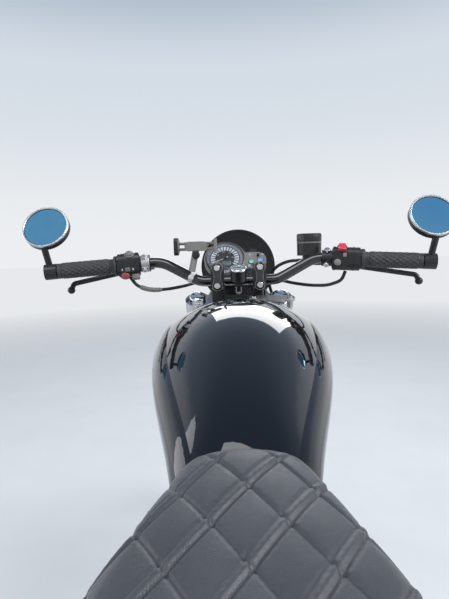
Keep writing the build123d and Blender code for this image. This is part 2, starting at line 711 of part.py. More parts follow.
def flyscreen():
    """A small smoked dome ahead of the instrument."""
    centre = by_clamp(0, SCREEN_AHEAD, SCREEN_RISE)
    ball = Sphere(SCREEN_R) - Sphere(SCREEN_R - SCREEN_T)
    keep = Pos(0, 60 + 6, 20) * Box(220, 120, 170)
    shell = Pos(*tuple(centre)) * (ball & keep)
    stay = rod((0, centre.Y + SCREEN_R - 4, centre.Z - 8), (0, LAMP.Y - 16, LAMP.Z + HEADLAMP_R - 4), 5)
    lamp_space = Pos(*tuple(LAMP)) * Rot(90, 0, 0) * Cylinder(HEADLAMP_R + SEAT_GAP, 240)
    return shell + stay - lamp_space


def phone_clamp():
    """An empty sprung phone holder on a short arm from the bar's left side."""
    centre = by_clamp(PHONE_X, PHONE_AHEAD, PHONE_RISE)
    left = centre - Vector(PHONE_GRIP / 2, -4, 0)
    right = centre + Vector(PHONE_GRIP / 2, -4, 0)
    whole = Pos(*centre) * rounded_box(48, 26, 18, 5)
    for step in (-6, 6):
        apart = Vector(0, step / 2, step)
        whole = whole + rod(left + apart, right + apart, 3)
    whole = whole + Pos(*left) * rounded_box(8, 30, 26, 3) + Pos(*right) * rounded_box(6, 26, 30, 2)
    whole = whole + rod(by_clamp(PHONE_X - 12, 1, 14), centre - Vector(0, 0, 4), 7)
    space = pipe([bar_side(-1)[1], bar_side(-1)[0], bar_side(1)[0]], BAR_R + SEAT_GAP, [BAR_BEND_LOW])
    return whole - space


def bar_clock():
    """A small round clock, tilted to the rider, on a band round the bar between the risers."""
    middle = by_clamp(0, 0, 0)
    tilt = radians(CLOCK_TILT)
    up = Vector(0, -sin(tilt), cos(tilt))
    centre = by_clamp(0, -CLOCK_BACK, CLOCK_RISE)
    case = rod(centre - up * (CLOCK_H / 2), centre + up * (CLOCK_H / 2), CLOCK_R)
    band = extrude(Plane.YZ * Circle(BAR_R + CLOCK_BAND_T), CLOCK_BAND_W / 2, both=True)
    lug = Plane(origin=middle - up * BAR_R, z_dir=-up) * Pos(0, 0, 5) * Box(CLOCK_BAND_W, 8, 14)
    bar = extrude(Plane.YZ * Circle(BAR_R + SEAT_GAP), CLOCK_R * 2, both=True)
    return case + (Pos(*middle) * band) + lug - Pos(*middle) * bar


def cord(points, radius):
    """A round cord along straight runs, joined by arcs as wide as the shorter run beside each allows."""
    points = [Vector(p) for p in points]
    bends = []
    for before, at, after in zip(points, points[1:], points[2:]):
        turn = radians((at - before).get_angle(after - at))
        bends.append(BEND_SHARE * min((at - before).length, (after - at).length) / tan(turn / 2))
    print("cord radii", [round(bend) for bend in bends])
    return pipe(points, radius, bends)


# Route of the brake hose: x, distance up the fork, distance ahead of its legs
HOSE_ROUTE = [
    (108, 730, 42), (80, 712, 47), (67, 676, 50), (76, 640, 45), (98, 603, 31), (116, 557, 15), (123, 502, 5),
    (123, 441, 1), (114, 383, -5), (104, 327, -24), (90, 272, -46), (76, 218, -68),
]


def control_cables():
    """The brake hose, from the master down to the caliper."""
    start = bar_at(1, BRAKE_PERCH_AT + PERCH_L / 2).origin + Vector(-46.6, 26, -4)
    end = fork(70, CALIPER_U + CALIPER_H / 2 + SEAT_GAP, CALIPER_V)
    above = fork(70, CALIPER_U + CALIPER_H / 2 + 40, CALIPER_V)
    return cord([start] + [fork(*row) for row in HOSE_ROUTE] + [above, end], HOSE_R)


# Route of a switch's wires on the right, from the bar's clamps: x, ahead, rise
LOOM_ROUTE = [(216, -1, -6), (188, 3, -16), (152, 15, -16), (120, 35, -12), (96, 62, -7), (74, 92, -7), (52, 120, -16)]


def switch_loom(side, inward, length):
    """The sheathed wires from under a switch housing to the top of the headlamp's bowl."""
    housing = bar_at(side, inward + length / 2).origin
    start = housing + Vector(side * -2, 0, -SWITCHGEAR_TALL / 2 - LOOM_CLEAR)
    points = [start] + [by_clamp(side * x, ahead, rise) for x, ahead, rise in LOOM_ROUTE]
    return cord(points, LOOM_R)


# Frame


def head_tube():
    low = LOWER_YOKE_U + LOWER_YOKE_T + MOVING_GAP
    high = TOP_YOKE_U - MOVING_GAP
    return extrude(fork_plane(0, low, -FORK_OFFSET)
                   * (Circle(HEAD_TUBE_R) - Circle(STEM_R + RUNNING_GAP)), high - low)


def stem_space(radius):
    """A round space along the steering stem."""
    length = TOP_YOKE_U + TOP_YOKE_T - LOWER_YOKE_U
    return extrude(fork_plane(0, LOWER_YOKE_U, -FORK_OFFSET) * Circle(radius), length)


BACKBONE_FRONT = fork(0, TOP_YOKE_U - 58, -FORK_OFFSET)
BACKBONE_REAR = Vector(0, -130, RAIL_Z - 2)


def frame_spine():
    """Head tube, backbone, its tank rubbers and the rear cross tube."""
    backbone = rod(BACKBONE_FRONT, BACKBONE_REAR, BACKBONE_R)
    reach = Vector(RAIL_HALF_X + 2, 0, 0)
    cross = rod(BACKBONE_REAR - reach, BACKBONE_REAR + reach, MAIN_TUBE_R)
    gusset_low = fork(0, LOWER_YOKE_U + LOWER_YOKE_T + 18, -FORK_OFFSET)
    gusset = rod(gusset_low, BACKBONE_FRONT + (BACKBONE_REAR - BACKBONE_FRONT) * 0.25, 12)
    return head_tube() + backbone + cross + gusset - stem_space(STEM_R + RUNNING_GAP)


def cradle_points(side):
    return [
        fork(side * 30, LOWER_YOKE_U + 84, -FORK_OFFSET - 13), (side * 78, BARREL_Y + 147, CRADLE_Z + 25),
        (side * 100, BARREL_Y + 5, CRADLE_Z), (side * 122, STAND_PIVOT_Y, CRADLE_Z + 3),
        (side * 122, PIVOT_Y + 30, PIVOT_Z - 70),
    ]


def frame_cradle():
    """Two cradle tubes, from the head tube round the engine to the pivot plates."""
    left = pipe(cradle_points(-1), MAIN_TUBE_R, CRADLE_BENDS)
    tube = mirrored(left)
    cross_front = rod((-98, BARREL_Y + 7, CRADLE_Z), (98, BARREL_Y + 7, CRADLE_Z), CROSS_TUBE_R)
    cross_rear = rod((-120, STAND_PIVOT_Y, CRADLE_Z + 3), (120, STAND_PIVOT_Y, CRADLE_Z + 3), CROSS_TUBE_R)
    return left + tube + cross_front + cross_rear - stem_space(HEAD_TUBE_R + WELD_GAP)


def pivot_plate():
    """The plate that carries the swingarm pivot, the footrest and the tubes' ends."""
    outline = make_hull(
        (Pos(PIVOT_Y + 30, PIVOT_Z - 70) * Circle(26)
         + Pos(PIVOT_Y, PIVOT_Z) * Circle(40)
         + Pos(PIVOT_Y + 35, PIVOT_Z + 100) * Circle(26)
         + Pos(PIVOT_Y - 55, PIVOT_Z + 50) * Circle(22)).edges()
    )
    plate = extrude(Plane.YZ * outline, PIVOT_PLATE_T)
    hole = extrude(Plane.YZ * Pos(PIVOT_Y, PIVOT_Z) * Circle(REAR_AXLE_R + SEAT_GAP), 30, both=True)
    return Pos(PIVOT_PLATE_X, 0, 0) * (plate - hole)


def frame_subframe():
    """Pivot plates, rear tubes, seat rails and the tail hoop."""
    plate = pivot_plate()
    rear_tube = rod((RAIL_HALF_X, BACKBONE_REAR.Y - 28, BACKBONE_REAR.Z), (125, PIVOT_Y + 35, PIVOT_Z + 70),
                    REAR_TUBE_R)
    rail_start = BACKBONE_REAR.Y - MAIN_TUBE_R - WELD_GAP
    rail = pipe([(RAIL_HALF_X, rail_start, RAIL_Z), (RAIL_HALF_X + 6, SHOCK_TOP[1], RAIL_Z + 4),
                 (RAIL_HALF_X, BRIDGE_Y, RAIL_REAR_Z)], SEAT_RAIL_R, [300])
    stay = rod((128, PIVOT_Y - 61, PIVOT_Z + 62), (RAIL_HALF_X + 6, SHOCK_TOP[1], RAIL_Z), 10)
    x, y, z = SHOCK_TOP
    spigot = rod((RAIL_HALF_X + 2, y, z + 8), (x - 15, y, z), 9)
    stud = spigot + rod((x - 20, y, z), (x + 16, y, z), SHOCK_STUD_R)
    right = plate + rear_tube + rail + stay + stud
    half = RAIL_HALF_X
    hoop = pipe([(half, BRIDGE_Y, RAIL_REAR_Z), (half, HOOP_Y, HOOP_Z), (-half, HOOP_Y, HOOP_Z),
                 (-half, BRIDGE_Y, RAIL_REAR_Z)], SEAT_RAIL_R, [88, 88])
    bridge = rod((-half, BRIDGE_Y, RAIL_REAR_Z), (half, BRIDGE_Y, RAIL_REAR_Z), BRIDGE_R)
    return group(right + mirrored(right) + hoop + bridge)


def tank_section(y, half_w, top, shoulder, low, half_low):
    """One cross section: flat floor, near-upright sides, round shoulders and a crowned top."""
    corner = (shoulder - low) * 0.25
    wall, bend, edge = (half_w, shoulder - corner), (half_w - 4, shoulder + 4), (half_w - 22, shoulder + 20)

    def left(point):
        return -point[0], point[1]

    pieces = (
        Line((-half_low, low), (half_low, low))
        + Line((half_low, low), wall)
        + ThreePointArc(wall, bend, edge)
        + ThreePointArc(edge, (0, top), left(edge))
        + ThreePointArc(left(edge), left(bend), left(wall))
        + Line(left(wall), (-half_low, low))
    )
    return Plane(origin=(0, y, 0), x_dir=(1, 0, 0), z_dir=(0, -1, 0)) * make_face(pieces)


TANK_FRONT_Y = fork(0, TOP_YOKE_U, -FORK_OFFSET).Y - 101.5
TANK_REAR_Y = -158.0
# Sections of the tank: share of its length from the front, half width, top, shoulder,
# floor, half width of the floor
TANK_SECTIONS = [
    (0.0, 94, 914, 866, 812, 80),
    (0.053, 121, 934, 884, 800, 104),
    (0.249, 138, 946, 884, 786, 119),
    (0.493, 128, 932, 866, 780, 110),
    (0.760, 99, 892, 838, 780, 86),
    (0.938, 77, 854, 816, 782, 66),
    (1.0, 70, 832, 804, 784, 60),
]
SEAT_BASE_Z = 784.0
SEAT_NOSE_Y = -146.0
SEAT_TAIL_Y = HOOP_Y - 14.0
SEAT_PAN_INSET = 80.0
SEAT_PAN_L = 400.0
SEAT_PAN_W = 160.0
SEAT_PAN_T = 6.0
BATTERY_BOX_H = 170.0
# Sections of the seat: share of its length from the nose, then as the tank's
SEAT_SECTIONS = [
    (0.0, 60, 850, 824, 800, 54),
    (0.050, 74, 849, 820, 790, 66),
    (0.130, 95, 842, 812, 784, 86),
    (0.215, 116, 833, 804, 784, 106),
    (0.300, 128, 826, 797, 784, 116),
    (0.430, 132, 820, 792, 784, 120),
    (0.594, 130, 842, 796, 784, 116),
    (0.668, 124, 880, 806, 790, 111),
    (0.785, 117, 906, 826, 800, 104),
    (0.947, 96, 888, 842, 826, 84),
    (1.0, 60, 864, 838, 830, 50),
]


def tank_form(grow=0.0):
    """The tank's outer form, or one larger by grow on every side."""
    length = TANK_FRONT_Y - TANK_REAR_Y + 2 * grow
    faces = []
    for share, half_w, top, shoulder, low, half_low in TANK_SECTIONS:
        y = TANK_FRONT_Y + grow - share * length
        faces.append(tank_section(y, half_w + grow, top + grow, shoulder + grow, low - grow, half_low))
    return loft(faces)


def fuel_tank():
    """The tank shell, tunnelled for the backbone, on its rubbers."""
    way = (BACKBONE_REAR - BACKBONE_FRONT).normalized()
    tunnel = rod(BACKBONE_FRONT, BACKBONE_REAR + way * 30, BACKBONE_R + SEAT_GAP)
    width = 2 * (BACKBONE_R + SEAT_GAP)
    front, rear, down = BACKBONE_FRONT, BACKBONE_REAR + way * 60, Vector(0, 0, -200)
    slot = extrude(make_face(Polyline(front, rear, rear + down, front + down, close=True)), width / 2,
                   dir=(1, 0, 0), both=True)
    return tank_form() - tunnel - slot


def seat_cushion():
    """The quilted seat and tail hump as one plain padded form."""
    length = SEAT_NOSE_Y - SEAT_TAIL_Y
    body = loft([tank_section(SEAT_NOSE_Y - row[0] * length, *row[1:]) for row in SEAT_SECTIONS])
    below = Pos(0, SEAT_NOSE_Y - length / 2, SEAT_BASE_Z - 50) * Box(400, 2 * length, 100)
    return body - below - tank_form(SEAT_GAP)


def tail_lamp():
    """A small round lamp below the tail hoop."""
    lens = Pos(0, HOOP_Y - SEAT_RAIL_R - SEAT_GAP - 10, HOOP_Z) * Rot(90, 0, 0) * Cylinder(24, 20)
    return lens


def rear_mudguard():
    """The guard, its struts up to the tail, and the number-plate bracket with two holes."""
    whole = arched_guard(REAR_AXLE_Y, REAR_AXLE_Z, REAR_TYRE_R + GUARD_AIR, 136, 3, 80, 142)
    crown = REAR_TYRE_R + GUARD_AIR + 5
    for y, top in ((BRIDGE_Y, RAIL_REAR_Z - BRIDGE_R - SEAT_GAP), (HOOP_Y, HOOP_Z - SEAT_RAIL_R - SEAT_GAP)):
        low = REAR_AXLE_Z + sqrt(crown ** 2 - (y - REAR_AXLE_Y) ** 2) - 2
        whole = whole + Pos(0, y, (low + top) / 2) * rounded_box(26, 6, top - low, 2)
    plate = Pos(0, PLATE_Y, PLATE_Z) * Box(150, 4, 46)
    for x in (-PLATE_HOLES / 2, PLATE_HOLES / 2):
        plate = plate - Pos(x, PLATE_Y, PLATE_Z) * Rot(90, 0, 0) * Cylinder(PLATE_HOLE_R, 20)
    neck_low = REAR_AXLE_Z + sqrt(crown ** 2 - (PLATE_Y + 10 - REAR_AXLE_Y) ** 2) - 4
    neck = Pos(0, PLATE_Y + 10, neck_low) * Box(40, 22, 14)
    return whole + plate + neck


# Engine


def finned_block(half_x, half_y, z0, z1):
    """Cooling fins about a core, all as one casting."""
    core = Pos(0, BARREL_Y, (z0 + z1) / 2) * rounded_box(2 * (half_x - 22), 2 * (half_y - 22), z1 - z0, 20)
    count = int((z1 - z0) // FIN_PITCH)
    fins = []
    for index in range(count):
        z = z0 + FIN_PITCH * (index + 0.5)
        fins.append(Pos(0, BARREL_Y, z) * rounded_box(2 * half_x, 2 * half_y, FIN_T, 16))
    return core + fins


# Round side covers of the engine: x of the inner face, y, z, radius, depth
RIGHT_COVERS = [(119, -20, 362, 88, 62), (130, 120, 366, 58, 44)]
LEFT_COVERS = [(-109, 90, 356, 84, 54)]
COVER_EDGE = 9.0
COVER_BOSS_R = 26.0
COVER_BOSS_H = 4.0


def round_cover(x, y, z, radius, depth):
    """A cover with a rounded rim, a shallow dish and a boss at its middle, facing away from the engine."""
    side = 1 if x > 0 else -1
    dish_r = radius - 2 * COVER_EDGE
    rim = ThreePointArc((radius, depth - COVER_EDGE),
                        (radius - COVER_EDGE * (1 - sqrt(0.5)), depth - COVER_EDGE * (1 - sqrt(0.5))),
                        (radius - COVER_EDGE, depth))
    inner = Polyline((radius - COVER_EDGE, depth), (dish_r, depth - 3), (COVER_BOSS_R, depth - 3),
                     (COVER_BOSS_R - 2, depth + COVER_BOSS_H), (0, depth + COVER_BOSS_H), (0, 0), (radius, 0),
                     (radius, depth - COVER_EDGE))
    solid = revolve(make_face(Plane.XZ * (rim + inner)), Axis.Z, 360)
    return Plane(origin=(x, y, z), z_dir=(side, 0, 0)) * solid


# Round corners of the crankcase seen from the side: y, z, radius
CASE_ROUNDS = [
    (BARREL_Y, 366, 98), (BARREL_Y + 66, DECK_Z - 16, 16), (BARREL_Y - 84, DECK_Z - 16, 16),
    (-60, 366, 91), (-118, 420, 30),
]


def engine_lug(y, z, height):
    """A mounting lug under the crankcase, saddled on a cross tube of the cradle."""
    block = Pos(0, y, z + height / 2) * rounded_box(60, 56, height, 12)
    return block - rod((-100, y, z), (100, y, z), CROSS_TUBE_R + SEAT_GAP)


def engine_cases():
    """Crankcase and gearbox in one, its sump and mounting lugs, and the round side covers."""
    rounds = Sketch()
    for y, z, radius in CASE_ROUNDS:
        rounds = rounds + Pos(y, z) * Circle(radius)
    middle = Pos(CASE_X, 0, 0) * extrude(Plane.YZ * make_hull(rounds.edges()), CASE_W / 2, both=True)
    main = chamfer(middle.edges().filter_by(Plane.YZ), CASE_CHAMFER)
    chain_space = Pos(-110, -150, 340) * Box(100, 190, 300)
    sump = Pos(0, 0, 250) * rounded_box(150, 200, 50, 20)
    whole = main - chain_space + sump + front_sprocket()
    whole = whole + engine_lug(BARREL_Y + 7, CRADLE_Z, ENGINE_LUG_H)
    whole = whole + engine_lug(STAND_PIVOT_Y, CRADLE_Z + 3, REAR_LUG_H)
    for row in RIGHT_COVERS + LEFT_COVERS:
        whole = whole + round_cover(*row)
    return whole


def engine_barrels():
    return finned_block(BARREL_HALF_X, BARREL_HALF_Y, DECK_Z + SEAT_GAP, BARREL_TOP_Z)


def engine_head():
    """Finned head and rocker cover."""
    fins = finned_block(BARREL_HALF_X + 6, BARREL_HALF_Y + 6, BARREL_TOP_Z + SEAT_GAP, HEAD_TOP_Z - 50)
    cover = Pos(0, BARREL_Y, HEAD_TOP_Z - COVER_H / 2) * rounded_box(2 * BARREL_HALF_X - 20, 124, COVER_H, 26)
    cover = fillet(cover.edges().filter_by(Plane.XY).group_by(Axis.Z)[-1], 14)
    return fins + cover


def carburettors():
    """Two carburettors behind the head, each with a cone filter."""
    out = []
    for side in (-1, 1):
        x = side * 46
        front = BARREL_Y - BARREL_HALF_Y - 6 - 2
        stub = rod((x, front + 24, PORT_Z), (x, front - 30, PORT_Z - 3), 17)
        body = Pos(x, front - 50, PORT_Z - 7) * rounded_box(52, 48, 84, 10)
        cone = Plane(origin=(x, front - 74, PORT_Z - 5), z_dir=(0, -1, 0)) * Circle(25)
        tip = Plane(origin=(x, front - 144, PORT_Z - 5), z_dir=(0, -1, 0)) * Circle(38)
        filt = loft([cone, tip])
        fin_space = Pos(0, BARREL_Y, PORT_Z) * Box(400, 2 * (BARREL_HALF_Y + 6) + 0.6, 80)
        out.append(stub + body + filt - fin_space)
    return group(*out)


def exhaust_path(side):
    return [
        (side * 46, BARREL_Y + 85, PORT_Z), (side * 56, BARREL_Y + 177, PORT_Z - 14),
        (side * 112, BARREL_Y + 203, 440), (side * 150, BARREL_Y + 135, 248),
        (side * 165, -60, 243), (side * 167.4, -180, 253.8),
    ]


def exhaust_headers():
    pipes = []
    for side in (-1, 1):
        pipes.append(pipe(exhaust_path(side), EXHAUST_R, [52, 90, 90, 120]))
    fin_space = Pos(0, BARREL_Y, PORT_Z) * Box(400, 2 * (BARREL_HALF_Y + 6) + 0.6, 90)
    return group(*[p - fin_space for p in pipes])


def silencers():
    """Tapered megaphone silencers, open at the back."""
    out = []
    for side in (-1, 1):
        start = Vector(exhaust_path(side)[-1])
        way = (start - Vector(exhaust_path(side)[-2])).normalized()
        planes = [Plane(origin=start + way * (SEAT_GAP + d), z_dir=way) for d in (0, 120, 380, 410)]
        radii = (EXHAUST_R + 3, SILENCER_R - 6, SILENCER_R, SILENCER_R - 8)
        body = None
        for index in range(3):
            piece = loft([planes[index] * Circle(radii[index]), planes[index + 1] * Circle(radii[index + 1])])
            body = piece if body is None else body + piece
        hole = extrude(planes[3] * Circle(SILENCER_R - 14), -60)
        out.append(body - hole)
    return group(*out)


# Rear end


def swingarm():
    """A box-section fork with a cross tube, pivoting on its bolt."""
    outline = make_hull(
        (Pos(PIVOT_Y, PIVOT_Z) * Circle(ARM_H / 2 + 2)
         + Pos(REAR_AXLE_Y - 20, REAR_AXLE_Z) * Circle(ARM_H / 2)).edges()
    )
    slot = Pos(REAR_AXLE_Y, REAR_AXLE_Z) * Rectangle(60, 2 * (REAR_AXLE_R + SEAT_GAP))
    pivot_hole = Pos(PIVOT_Y, PIVOT_Z) * Circle(REAR_AXLE_R + SEAT_GAP)
    leg = Pos(ARM_INNER_X, 0, 0) * extrude(Plane.YZ * (outline - slot - pivot_hole), ARM_W)
    inner = ARM_INNER_X
    tube = rod((-inner, PIVOT_Y, PIVOT_Z), (inner, PIVOT_Y, PIVOT_Z), PIVOT_TUBE_R, REAR_AXLE_R + SEAT_GAP)
    brace = rod((-inner, ARM_BRACE_Y, PIVOT_Z - 2), (inner, ARM_BRACE_Y, PIVOT_Z - 2), ARM_BRACE_R)
    bolt = rod((-150, PIVOT_Y, PIVOT_Z), (150, PIVOT_Y, PIVOT_Z), REAR_AXLE_R)
    x, y, z = SHOCK_LOW
    stud = rod((ARM_INNER_X + ARM_W - 6, y, z), (x + 15, y, z), SHOCK_STUD_R)
    leg = leg + stud
    return group(leg + mirrored(leg) + tube + brace, bolt)


def rear_axle():
    """Axle, spacers and nuts."""
    outer = ARM_INNER_X + ARM_W + SEAT_GAP
    whole = rod((-outer, REAR_AXLE_Y, REAR_AXLE_Z), (outer, REAR_AXLE_Y, REAR_AXLE_Z), REAR_AXLE_R)
    for side in (-1, 1):
        nut = Pos(side * (outer + 5), REAR_AXLE_Y, REAR_AXLE_Z) * extrude(
            Plane.YZ * RegularPolygon(16, 6), 5, both=True)
        whole = whole + nut
    inner = ARM_INNER_X - SEAT_GAP
    left = rod((-inner, REAR_AXLE_Y, REAR_AXLE_Z), (-58 - SEAT_GAP, REAR_AXLE_Y, REAR_AXLE_Z), 17)
    right = rod((inner, REAR_AXLE_Y, REAR_AXLE_Z), (78, REAR_AXLE_Y, REAR_AXLE_Z), 17)
    return whole + left + right


def rear_brake_plate():
    """The fixed plate that closes the drum, with its torque arm."""
    hole = REAR_AXLE_R + SEAT_GAP
    outline = [(46, hole), (77.6, hole), (77.6, 30), (70, 84), (66, 96), (61, 96), (58, 82), (46, 82)]
    plate = spun_x(outline, REAR_AXLE_Y, REAR_AXLE_Z)
    arm_end = (92, ARM_BRACE_Y + 18, PIVOT_Z - 46)
    arm = rod((92, REAR_AXLE_Y + 50, REAR_AXLE_Z - 62), arm_end, 6)
    lug = rod((60, REAR_AXLE_Y + 50, REAR_AXLE_Z - 62), (98, REAR_AXLE_Y + 50, REAR_AXLE_Z - 62), 9)
    end = rod(arm_end, (92, ARM_BRACE_Y + 6, PIVOT_Z - 14), 6)
    brace_space = rod((0, ARM_BRACE_Y, PIVOT_Z - 2), (200, ARM_BRACE_Y, PIVOT_Z - 2), ARM_BRACE_R + SEAT_GAP)
    return plate + arm + lug + end - brace_space


def shock():
    """A damper with a coil spring between its seat and its cap, and an eye at each end."""
    low = Vector(SHOCK_LOW)
    top = Vector(SHOCK_TOP)
    length = (top - low).length
    cap = length - SPRING_CAP_AT
    outline = [
        (0, 0), (11, 0), (11, 34), (28, 38), (28, SPRING_SEAT), (DAMPER_R, SPRING_SEAT + 3),
        (DAMPER_R, length * 0.62), (8, length * 0.62 + 3), (8, cap - 2), (28, cap), (28, cap + 20), (11, cap + 26),
        (11, length), (0, length),
    ]
    plane = Plane(origin=low, z_dir=top - low)
    whole = revolve(make_face(Plane.XZ * Polyline(*outline, close=True)), Axis.Z, 360)
    coil_low, coil_high = SPRING_SEAT - 2, cap + 2
    coil = Helix(pitch=(coil_high - coil_low) / SPRING_TURNS, height=coil_high - coil_low, radius=SPRING_R)
    start = Plane(origin=coil @ 0, z_dir=coil % 0)
    wire = Pos(0, 0, coil_low) * sweep(start * Circle(SPRING_WIRE_R), path=coil)
    whole = plane * (whole + wire)
    for eye in (low, top):
        whole = whole + Pos(*tuple(eye)) * Rot(0, 90, 0) * Cylinder(14, 22)
    for eye in (low, top):
        whole = whole - Pos(*tuple(eye)) * Rot(0, 90, 0) * Cylinder(SHOCK_STUD_R + SEAT_GAP, 60)
    return whole


def chain_loop(offset=0.0):
    """The chain's pitch line round both sprockets, or one larger by offset, seen along the axle."""
    r1 = sprocket_radius(FRONT_SPROCKET_TEETH) + offset
    r2 = sprocket_radius(REAR_SPROCKET_TEETH) + offset
    return make_hull((Pos(FRONT_SPROCKET_Y, FRONT_SPROCKET_Z) * Circle(r1)
                      + Pos(REAR_AXLE_Y, REAR_AXLE_Z) * Circle(r2)).edges())


def chain_plates(turn, inner_x, outer_x):
    """One link's pair of plates at a place on the pitch line, between two distances from the chain's middle."""
    half = CHAIN_PITCH / 2 + PLATE_HALF_H * 0.42
    tip, waist = PLATE_HALF_H * 0.42, PLATE_HALF_H
    outline = make_face(Polyline(
        (half + tip, -tip), (half + tip, tip), (half, waist), (-half, waist), (-half - tip, tip),
        (-half - tip, -tip), (-half, -waist), (half, -waist), close=True))
    pair = []
    for x in (-outer_x, inner_x):
        pair.append(extrude(Plane.YZ.offset(x) * (turn * outline), outer_x - inner_x))
    return pair


def drive_chain():
    """The final drive chain as one fixed loop: rollers as a slim core, with plates at every link."""
    core = chain_loop(CHAIN_CORE_HALF_H) - chain_loop(-CHAIN_CORE_HALF_H)
    whole = extrude(Plane.YZ * core, PLATE_INNER_X + 0.2, both=True)
    line = chain_loop().face().outer_wire()
    count = 2 * round(line.length / CHAIN_PITCH / 2)
    plates = []
    for index in range(count):
        start, end = line @ (index / count), line @ ((index + 1) / count)
        middle = (start + end) / 2
        turn = Pos(middle.X, middle.Y) * Rot(0, 0, degrees(atan2(end.Y - start.Y, end.X - start.X)))
        if index % 2:
            plates.extend(chain_plates(turn, PLATE_MIDDLE_X - 0.2, PLATE_OUTER_X))
        else:
            plates.extend(chain_plates(turn, PLATE_INNER_X, PLATE_MIDDLE_X))
    return Pos(CHAIN_X, 0, 0) * (whole + plates)


def front_sprocket():
    radius = sprocket_radius(FRONT_SPROCKET_TEETH) - CHAIN_HALF_H - 1
    wheel = Pos(CHAIN_X, FRONT_SPROCKET_Y, FRONT_SPROCKET_Z) * Rot(0, 90, 0) * Cylinder(radius, SPROCKET_T)
    y, z = FRONT_SPROCKET_Y, FRONT_SPROCKET_Z
    shaft = rod((CHAIN_X - 10, y, z), (-50, y, z), 14)
    return wheel + shaft


def rearsets():
    """Footrest plates, pegs, the gear lever and the brake pedal."""
    out = []
    x0 = PIVOT_PLATE_X + PIVOT_PLATE_T + SEAT_GAP
    for side in (-1, 1):
        hub_y, hub_z = PIVOT_Y - 17, PIVOT_Z + 32
        peg_y, peg_z = PIVOT_Y - 75, PIVOT_Z + 70
        outline = make_hull((Pos(hub_y, hub_z) * Circle(16) + Pos(peg_y, peg_z) * Circle(16)
                             + Pos(PIVOT_Y + 10, PIVOT_Z + 80) * Circle(12)).edges())
        plate = Pos(x0, 0, 0) * extrude(Plane.YZ * outline, 8)
        bolt_space = rod((0, PIVOT_Y, PIVOT_Z), (300, PIVOT_Y, PIVOT_Z), 18)
        peg = rod((x0 + 4, peg_y, peg_z), (x0 + 95, peg_y, peg_z), 12)
        lever_bar = pipe([(x0 + 15, hub_y, hub_z), (x0 + 15, hub_y + 102, hub_z - 6),
                          (x0 + 40, hub_y + 132, hub_z - 4), (x0 + 72, hub_y + 132, hub_z - 4)], 6, [18, 14])
        hub = rod((x0 + 4, hub_y, hub_z), (x0 + 24, hub_y, hub_z), 12)
        solid = plate - bolt_space + peg + hub + lever_bar
        out.append(solid if side > 0 else mirrored(solid))
    return group(*out)


def battery_box():
    """Electrics box under the seat."""
    top = SEAT_BASE_Z - 2 * SEAT_GAP - SEAT_PAN_T
    return Pos(0, PIVOT_Y - 5, top - BATTERY_BOX_H / 2) * rounded_box(150, 130, BATTERY_BOX_H, 14)


def seat_pan():
    """A thin pan under the cushion, on the electrics box."""
    middle = SEAT_NOSE_Y - SEAT_PAN_INSET - SEAT_PAN_L / 2
    return Pos(0, middle, SEAT_BASE_Z - SEAT_GAP - SEAT_PAN_T / 2) * rounded_box(
        SEAT_PAN_W, SEAT_PAN_L, SEAT_PAN_T, 30)


# Stands


def centre_stand():
    """Two splayed legs on a cross tube, with feet; it stands on the floor just past dead centre."""
    whole = rod((-74, STAND_PIVOT_Y, STAND_PIVOT_Z), (74, STAND_PIVOT_Y, STAND_PIVOT_Z), 13)
    foot_y = STAND_PIVOT_Y + STAND_FOOT_LEAD
    for side in (-1, 1):
        knee = (side * 74, STAND_PIVOT_Y + 6, STAND_PIVOT_Z - 46)
        leg = pipe([(side * 74, STAND_PIVOT_Y, STAND_PIVOT_Z), knee, (side * STAND_FOOT_X, foot_y, 8)],
                   STAND_LEG_R, [30])
        foot = Pos(side * STAND_FOOT_X, foot_y, 4) * rounded_box(44, 60, 8, 8)
        whole = whole + leg + foot
    floor_cut = Pos(0, 0, -50) * Box(2000, 2000, 100)
    bore_r = STAND_PIN_R + RUNNING_GAP
    bore = rod((-200, STAND_PIVOT_Y, STAND_PIVOT_Z), (200, STAND_PIVOT_Y, STAND_PIVOT_Z), bore_r)
    return whole - floor_cut - bore


def side_stand_axis():
    """The pivot and the unit direction of its pin, from outer top to inner bottom."""
    way = Vector(0.62, 0, -0.785).normalized()
    return Vector(SIDE_STAND_X, SIDE_STAND_Y, SIDE_STAND_Z), way


def stand_bracket():
    """Ears under the rear cross tube with the centre stand's pin, and the side stand's pin and lug."""
    ears = []
    for side in (-1, 1):
        ear = extrude(Plane.YZ * make_hull((Pos(STAND_PIVOT_Y, STAND_PIVOT_Z) * Circle(16)
                                           + Pos(STAND_PIVOT_Y, CRADLE_Z + 1) * Circle(12)).edges()), 6)
        ears.append(Pos(side * 95 - 3, 0, 0) * ear)
    pin = rod((-98, STAND_PIVOT_Y, STAND_PIVOT_Z), (98, STAND_PIVOT_Y, STAND_PIVOT_Z), STAND_PIN_R)
    tube_z = CRADLE_Z + 3
    tube_space = rod((-130, STAND_PIVOT_Y, tube_z), (130, STAND_PIVOT_Y, tube_z), CROSS_TUBE_R + WELD_GAP)
    pivot, way = side_stand_axis()
    side_pin = rod(pivot + way * 9, pivot - way * 24, SIDE_PIN_R)
    lug = rod(pivot - way * 11, pivot - way * 26, 9)
    lug = lug + rod(pivot - way * 19, (-93, SIDE_STAND_Y, CRADLE_Z + 1), 7)
    rail_space = pipe(cradle_points(-1), MAIN_TUBE_R + WELD_GAP, CRADLE_BENDS)
    return group(ears[0] + ears[1] + pin - tube_space, side_pin + lug - rail_space)


